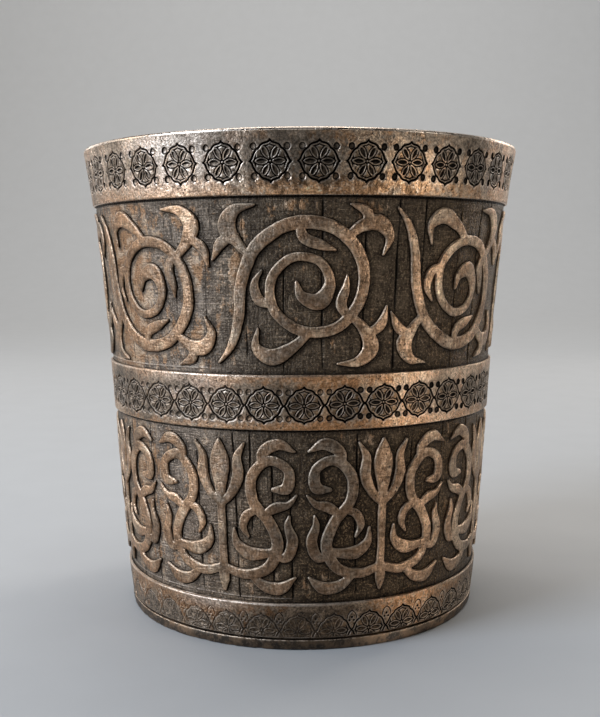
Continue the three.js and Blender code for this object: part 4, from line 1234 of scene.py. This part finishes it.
RUBBED = ((-16.4, 75, 2.8, 15, 1.1), (-24.5, 60, 3.0, 6, 0.6), (-53, 71, 14, 24, 1.45), (-27, 77, 4.5, 5, 0.7), (-1.5, 86.2, 5, 1.8, 0.9), (-33, 61, 7, 4, 0.8),
          (16, 85.6, 5, 2.6, 0.9), (-30, 85.0, 4, 2.2, 0.9), (-28, 72, 3.0, 3.5, 0.8), (9, 63, 4, 2.4, 0.5), (-52, 29, 12, 15, 0.95),
          (3, 13, 6, 2.2, 0.6), (-23, 17, 8, 3, 0.75), (-14, 13.2, 6, 2, 0.6), (17, 41.8, 5, 2.0, 0.6), (-40, 20, 5, 6, 0.5), (150, 70, 10, 14, 0.9), (-145, 30, 9, 13, 0.9),
          (95, 78, 6, 12, 0.9), (110, 24, 8, 10, 0.7), (-100, 64, 6, 12, 0.9), (-170, 80, 7, 7, 0.8))


# Painted light and shade of the ground: lighter patches on the lamp-facing left, darker in the centre and on the right.
GROUND_PAINTED_LIGHT = ((-52, 72, 20, 36, 1.38), (-45, 22, 20, 24, 1.55), (-26, 68, 10, 26, 0.92), (-23, 24, 11, 22, 1.20), (12, 24, 26, 20, -0.40),
               (45, 40, 18, 40, -0.22))


def ground_finish(name):
    g = Graph(name)
    mm, flat, angle, z = g.coords()
    hollow_dirt_and_shade, painted_contact_shadow, lin, wear_and_highlight = g.attr("hollow_dirt_and_shade"), g.attr("painted_contact_shadow"), g.attr("lining"), g.attr("wear_and_highlight")
    big = g.cloud(mm, 15.0, 2.0, 0.5)
    mid = g.cloud(mm, 2.8, 3.0, 0.6)
    small = g.cloud(mm, 0.9, 3.0, 0.65)
    fine = g.cloud(mm, 0.42, 2.0, 0.72)
    up = g.cloud(g.scaled(flat, 1.0, 0.09, 1.0), 0.40, 2.0, 0.6)
    level = g.cloud(g.scaled(flat, 0.09, 1.0, 1.0), 0.40, 2.0, 0.6)
    tall = g.cloud(g.scaled(flat, 1.0, 0.25, 1.0), 2.4, 4.0, 0.65)
    col = g.mix(g.span(mid, 0.35, 0.66), (0.066, 0.049, 0.034), (0.125, 0.096, 0.068))
    weave = g.math("MAXIMUM", g.span(up, 0.56, 0.70), g.span(level, 0.56, 0.70))
    nick = g.math("MAXIMUM", g.span(up, 0.44, 0.32), g.span(level, 0.44, 0.32))
    col = g.mix(g.mul(weave, 0.34), col, (0.23, 0.175, 0.120))
    col = g.mix(g.mul(nick, 0.48), col, (0.024, 0.018, 0.013))
    col = g.mix(g.span(fine, 0.55, 0.68, 0.0, 0.60), col, (0.30, 0.230, 0.160))
    col = g.mix(g.span(fine, 0.34, 0.44, 0.55, 0.0), col, (0.020, 0.015, 0.011))
    scratch_x = g.cloud(g.scaled(flat, 0.035, 1.0, 1.0), 1.3, 1.0, 0.5)
    scratch_z = g.cloud(g.scaled(flat, 1.0, 0.035, 1.0), 1.5, 1.0, 0.5)
    thin_x = g.span(g.math("ABSOLUTE", g.add(scratch_x, -0.47)), 0.0, 0.012, 1.0, 0.0)
    thin_z = g.span(g.math("ABSOLUTE", g.add(scratch_z, -0.52)), 0.0, 0.012, 1.0, 0.0)
    some = g.span(mid, 0.42, 0.56)
    col = g.mix(g.mul(thin_x, g.mul(some, 0.7)), col, (0.34, 0.260, 0.180))
    col = g.mix(g.mul(thin_z, g.mul(some, 0.8)), col, (0.016, 0.012, 0.009))
    col = g.shade(col, g.add(1.0, around_front(g, angle, z, GROUND_PAINTED_LIGHT)))
    # Painted light: a cooler tint on the left, where the bluish lamp falls; the same patch later weakens the painted
    # shadow there.
    left = around_front(g, angle, z, ((-40, 50, 30, 70, 1.0),))
    col = g.mix(left, col, g.scaled(col, 0.97, 1.0, 1.10))
    brown = g.math("MINIMUM", around_front(g, angle, z, ((12, 20, 34, 26, 0.9), (50, 56, 24, 60, 0.8), (4, 74, 20, 24, 0.55))), 1.0)
    col = g.mix(g.mul(brown, g.span(fine, 0.54, 0.62, 0.0, 0.55)), col, (0.34, 0.250, 0.165))
    col = g.mix(g.mul(brown, g.span(small, 0.42, 0.34, 0.0, 0.45)), col, (0.020, 0.015, 0.011))
    col = g.mix(brown, col, g.scaled(col, 1.10, 0.93, 0.74))
    # rubbed patches, long upright ones and a few under the hoops
    places = around_front(g, angle, z, RUBBED)
    ragged = g.add(g.mul(tall, 0.65), g.mul(small, 0.35))
    rub = g.span(g.add(ragged, g.mul(places, 0.19)), 0.585, 0.665)
    rub = g.mul(rub, g.span(fine, 0.28, 0.50, 0.25, 1.0))
    rub = g.mul(rub, g.mul(g.span(painted_contact_shadow, 0.1, 0.8, 1.0, 0.3), g.math("SUBTRACT", 1.0, lin)))
    worn = g.mix(g.span(mid, 0.42, 0.60), ORANGE, TAN)
    col = g.mix(g.mul(rub, 0.78), col, worn)
    # Bright ridge beside the scribed lines: a painted highlight.
    col = g.mix(g.mul(wear_and_highlight, g.span(fine, 0.30, 0.52, 0.4, 0.95)), col, EDGE_WEAR_AND_HIGHLIGHT)
    # Black: dark seams and scribed lines, plus painted shadow against the scrollwork and hoops, painted lighter on the
    # lamp-facing left.
    dark = g.math("MAXIMUM", g.span(hollow_dirt_and_shade, 0.05, 0.6), g.mul(painted_contact_shadow, g.span(left, 0.2, 0.9, 0.72, 0.50)))
    col = g.mix(g.mul(dark, g.span(left, 0.7, 1.0, 0.95, 0.84)), col, BLACK)
    inner = g.mix(g.span(g.cloud(g.scaled(mm, 1.0, 1.0, 1.5), 14.0, 5.0, 0.62), 0.30, 0.72), (0.235, 0.160, 0.105), (0.110, 0.085, 0.064))
    inner = g.mix(g.span(g.cloud(mm, 1.3, 3.0, 0.7), 0.54, 0.70, 0.0, 0.5), inner, (0.06, 0.048, 0.039))
    col = g.mix(lin, col, inner)
    metal = g.math("MAXIMUM", g.span(rub, 0.0, 0.7, 0.88, 1.0), g.span(hollow_dirt_and_shade, 0.2, 0.6))
    rough = g.add(g.add(0.48, g.mul(rub, -0.08)), g.mul(g.add(small, -0.5), 0.30))
    h = g.add(g.mul(fine, 1.1), g.mul(small, 0.9))
    h = g.add(h, g.add(g.mul(up, 0.8), g.mul(level, 0.8)))
    h = g.mul(h, g.span(lin, 0.0, 1.0, 1.0, 0.35))
    n = g.bump(h, 0.26, 1.0)
    return g.finish(col, metal, rough, n)


def foot_finish(name):
    g = Graph(name)
    mm, flat, angle, z = g.coords()
    hollow_dirt_and_shade, wear_and_highlight = g.attr("hollow_dirt_and_shade"), g.attr("wear_and_highlight")
    mid = g.cloud(mm, 2.6, 4.0, 0.65)
    fine = g.cloud(mm, 0.45, 3.0, 0.7)
    col = g.mix(g.span(mid, 0.42, 0.66), (0.046, 0.036, 0.027), (0.150, 0.098, 0.060))
    col = g.mix(g.span(fine, 0.52, 0.66, 0.0, 0.5), col, (0.22, 0.155, 0.105))
    # Painted light and shade: the foot is painted lighter on the left and at the right front, where the lamps fall, and
    # darker at the front.
    col = g.shade(col, g.add(1.0, around_front(g, angle, z, ((-40, 1, 24, 6, 0.9), (27, 1, 8, 6, 1.9), (52, 1, 12, 6, 0.5), (0, 1, 14, 6, -0.15), (180, 1, 60, 6, 0.3), (-180, 1, 60, 6, 0.3)))))
    bare = g.mul(around_front(g, angle, z, ((26, 1.2, 8, 3, 1.0), (48, 1.4, 6, 2, 0.5), (-44, 1.4, 10, 2, 0.4), (170, 1.2, 12, 3, 0.6))), g.span(mid, 0.38, 0.56))
    col = g.mix(g.math("MINIMUM", bare, 0.85), col, (0.50, 0.315, 0.185))
    broken = g.cloud(mm, 1.7, 2.0, 0.6)
    # A bright line along the top of the bead: rubbed metal with a painted highlight.
    col = g.mix(g.mul(g.span(wear_and_highlight, 0.4, 1.0), g.mul(g.span(fine, 0.36, 0.55), g.span(broken, 0.36, 0.54, 0.25, 1.0))), col, BRIGHT)
    col = g.mix(g.span(hollow_dirt_and_shade, 0.1, 0.7, 0.0, 0.8), col, OXIDE)
    rough = g.add(0.46, g.mul(g.add(fine, -0.5), 0.3))
    n = g.bump(g.add(fine, g.mul(mid, 1.2)), 0.10, 1.0)
    return g.finish(col, 0.85, rough, n)


looks = {
    "rim_band": hoop_finish("rim_brass", 94.0, 6.0, -0.005, 0.01, 0.33,
                            ((-6, 97, 15, 6, 0.085), (-2, 89.2, 26, 1.9, -0.07), (13, 93, 6, 7, -0.045), (36, 98.5, 16, 2.5, 0.07),
                             (33, 91, 14, 5, -0.05), (-38, 93, 17, 9, -0.04)),
                            ((-27, 97, 16, 7, 0.50), (-60, 95, 14, 7, 0.45), (-44, 95, 11, 7, 0.35)),
                            ((0, 89.0, 34, 2.2, 1.0), (-50, 89.5, 14, 2.4, 0.9)), ((-2, 94, 12, 4.5, -0.16), (-2, 88.8, 30, 1.4, 0.38), (-20, 95, 10, 6, -0.32), (-58, 95, 12, 8, 0.44), (-44, 95, 10, 8, 0.38), (38, 94, 20, 8, -0.01)),
                            ((46, 94, 24, 9, 0.66), (-2, 94, 16, 9, 0.24)), mottle=((-4, 89.4, 30, 2.4, 1.5), (34, 91, 18, 6, 1.0), (0, 94, 60, 12, 0.35))),
    "waist_band": hoop_finish("waist_brass", 49.55, 5.3, -0.050, 0.085, 0.36, ((-10, 49, 14, 6, 0.01), (34, 49, 16, 9, -0.05), (-38, 49.5, 20, 4, 0.045), (-36, 53.0, 20, 2.2, 0.075), (-36, 45.5, 20, 2.0, 0.05)),
                              pale=((-36, 51, 20, 5, 0.50), (41, 50, 13, 6, 0.34)), warm=((0, 45.2, 40, 1.8, 0.9), (-8, 53.8, 20, 1.6, 0.8), (-42, 50, 20, 7, 0.8)),
                              painted_light_and_shade=((-34, 50, 22, 7, 0.20), (37, 49, 15, 7, 0.52), (0, 53.6, 22, 1.6, 0.14), (0, 45.6, 26, 1.6, 0.18), (-2, 49.4, 18, 3.2, -0.10)), brown=((6, 49, 24, 12, 0.80), (38, 49, 16, 12, 0.42), (-40, 49, 16, 12, 0.25)),
                              fills=((44, 49, 24, 9, 0.34), (-2, 49, 22, 9, 0.10)), mottle=((0, 49, 50, 12, 0.5),)),
    "base_band": hoop_finish("base_brass", 4.6, 5.0, 0.035, 0.03, 0.42, ((34, 5, 15, 6, -0.10), (-24, 8.6, 12, 1.6, -0.10), (-1, 4, 16, 5, 0.06), (-34, 6, 9, 3, -0.04)),
                             pale=((-27, 8.8, 12, 1.5, 0.55),),
                             warm=((10, 8.6, 60, 1.6, 0.9), (36, 5, 16, 6, 0.5), (0, 5, 26, 9, 0.9), (-34, 6, 14, 5, 0.6)),
                             painted_light_and_shade=((-2, 4.2, 22, 6, -0.54), (30, 8, 17, 4, 0.50), (38, 6, 13, 6, 0.42), (-45, 6, 16, 5, 0.12)), brown=((16, 5, 40, 9, 1.0), (-44, 5, 18, 9, 0.10)),
                             fills=((32, 4, 26, 8, 0.26), (-4, 4, 20, 8, 0.08)),
                             mottle=((0, 5, 70, 12, 0.8), (34, 6, 14, 8, 0.5))),
    "wall": ground_finish("wall_brass_look"),
    "foot_ring": foot_finish("foot_brass_look"),
    "base_plate": ground_finish("floor_brass_look"),
    "relief": relief_finish("relief_brass_look"),
}
for name, ob in pieces.items():
    ob.data.materials.append(looks.get(name) or looks["relief"])

# ------------------------------------------------------------------ floor, lights, camera
def stage_floor():
    """A pale sheet that runs flat under the cup and sweeps up far behind it."""
    path = [(-1.6, 0.0), (0.9, 0.0)] + [(0.9 + 0.7 * math.sin(a), 0.7 - 0.7 * math.cos(a)) for a in np.linspace(0, math.pi / 2, 14)[1:]] + [(1.6, 2.2)]
    xs = np.linspace(-2.6, 2.6, 3)
    v = [(x, y, z) for y, z in path for x in xs]
    f = [(i * 3 + j, i * 3 + j + 1, i * 3 + j + 4, i * 3 + j + 3) for i in range(len(path) - 1) for j in range(2)]
    me = bpy.data.meshes.new("floor")
    me.from_pydata(v, [], f)
    me.update()
    for p in me.polygons:
        p.use_smooth = True
    ob = bpy.data.objects.new("floor", me)
    bpy.context.scene.collection.objects.link(ob)
    g = Graph("floor_paper")
    c = g.node("ShaderNodeTexCoord").outputs["Object"]
    n = g.node("ShaderNodeTexNoise")
    g.wire(c, n.inputs["Vector"])
    n.inputs["Scale"].default_value = 60.0
    col = g.mix(n.outputs["Fac"], (0.50, 0.495, 0.485), (0.53, 0.525, 0.515))
    g.finish(col, 0.0, 0.9, g.bump(n.outputs["Fac"], 0.2, 0.1), 0.0)
    me.materials.append(g.mat)
    return ob


stage_floor()


def softbox(name, at, to, size, power, colour, spread=180):
    li = bpy.data.lights.new(name, "AREA")
    li.spread = math.radians(spread)
    li.shape = "RECTANGLE"
    li.size, li.size_y = size
    li.energy = power
    li.color = colour
    ob = bpy.data.objects.new(name, li)
    ob.location = at
    ob.rotation_mode = "QUATERNION"
    ob.rotation_quaternion = (Vector(to) - Vector(at)).to_track_quat("-Z", "Y")
    bpy.context.scene.collection.objects.link(ob)
    return ob


aim = (0, 0, 0.05)


def around(azimuth, dist, z):
    """A place seen from the cup at that angle from the front, positive towards +X."""
    a = math.radians(azimuth)
    return (dist * math.sin(a), -dist * math.cos(a), z)


softbox("left_box", around(-60, 0.70, 0.34), aim, (0.36, 0.60), 2.72, (0.83, 0.98, 1.20), 140)
softbox("left_side", around(-98, 0.70, 0.28), aim, (0.25, 0.50), 0.388, (1.06, 0.98, 0.88), 120)
softbox("right_low", around(66, 0.60, 0.09), aim, (0.16, 0.16), 0.127, (1.0, 0.99, 0.96), 80)
softbox("back_right", around(132, 0.8, 0.30), aim, (0.16, 0.36), 0.38, (1.05, 1.0, 0.95), 100)
softbox("back_left", around(-136, 0.8, 0.30), aim, (0.16, 0.36), 0.16, (1.0, 0.98, 0.97), 100)
softbox("top_box", (0.0, 0.05, 1.1), aim, (0.8, 0.8), 4.8, (1.0, 1.0, 1.0))
softbox("back_wall", (0.0, 0.55, 1.3), (0, 1.5, 0.45), (1.6, 0.3), 16.0, (1.0, 1.0, 1.0))

world = bpy.data.worlds.new("room")
bpy.context.scene.world = world
world.use_nodes = True
world.node_tree.nodes["Background"].inputs[0].default_value = (0.80, 0.80, 0.82, 1)
world.node_tree.nodes["Background"].inputs[1].default_value = 0.03

cam_data = bpy.data.cameras.new("camera")
cam = bpy.data.objects.new("camera", cam_data)
bpy.context.scene.collection.objects.link(cam)
cam_data.sensor_fit = "AUTO"
cam_data.sensor_width = 36.0
cam_data.lens = 980.93 / 717 * 36.0
cam_data.clip_start, cam_data.clip_end = 0.01, 20
pitch, roll = 0.0978, -0.00544
cam.location = (-0.00019, -0.22502, 0.075894)
look = Matrix.Rotation(math.pi / 2 - pitch, 4, "X") @ Matrix.Rotation(roll, 4, "Z")
cam.rotation_mode = "QUATERNION"
cam.rotation_quaternion = look.to_quaternion()
bpy.context.scene.camera = cam

scene = bpy.context.scene
scene.view_settings.view_transform = "Standard"
scene.view_settings.look = "None"
scene.view_settings.exposure = 0.0

print("TRIANGLES", sum(sum(len(p.vertices) - 2 for p in o.data.polygons) for o in pieces.values()))
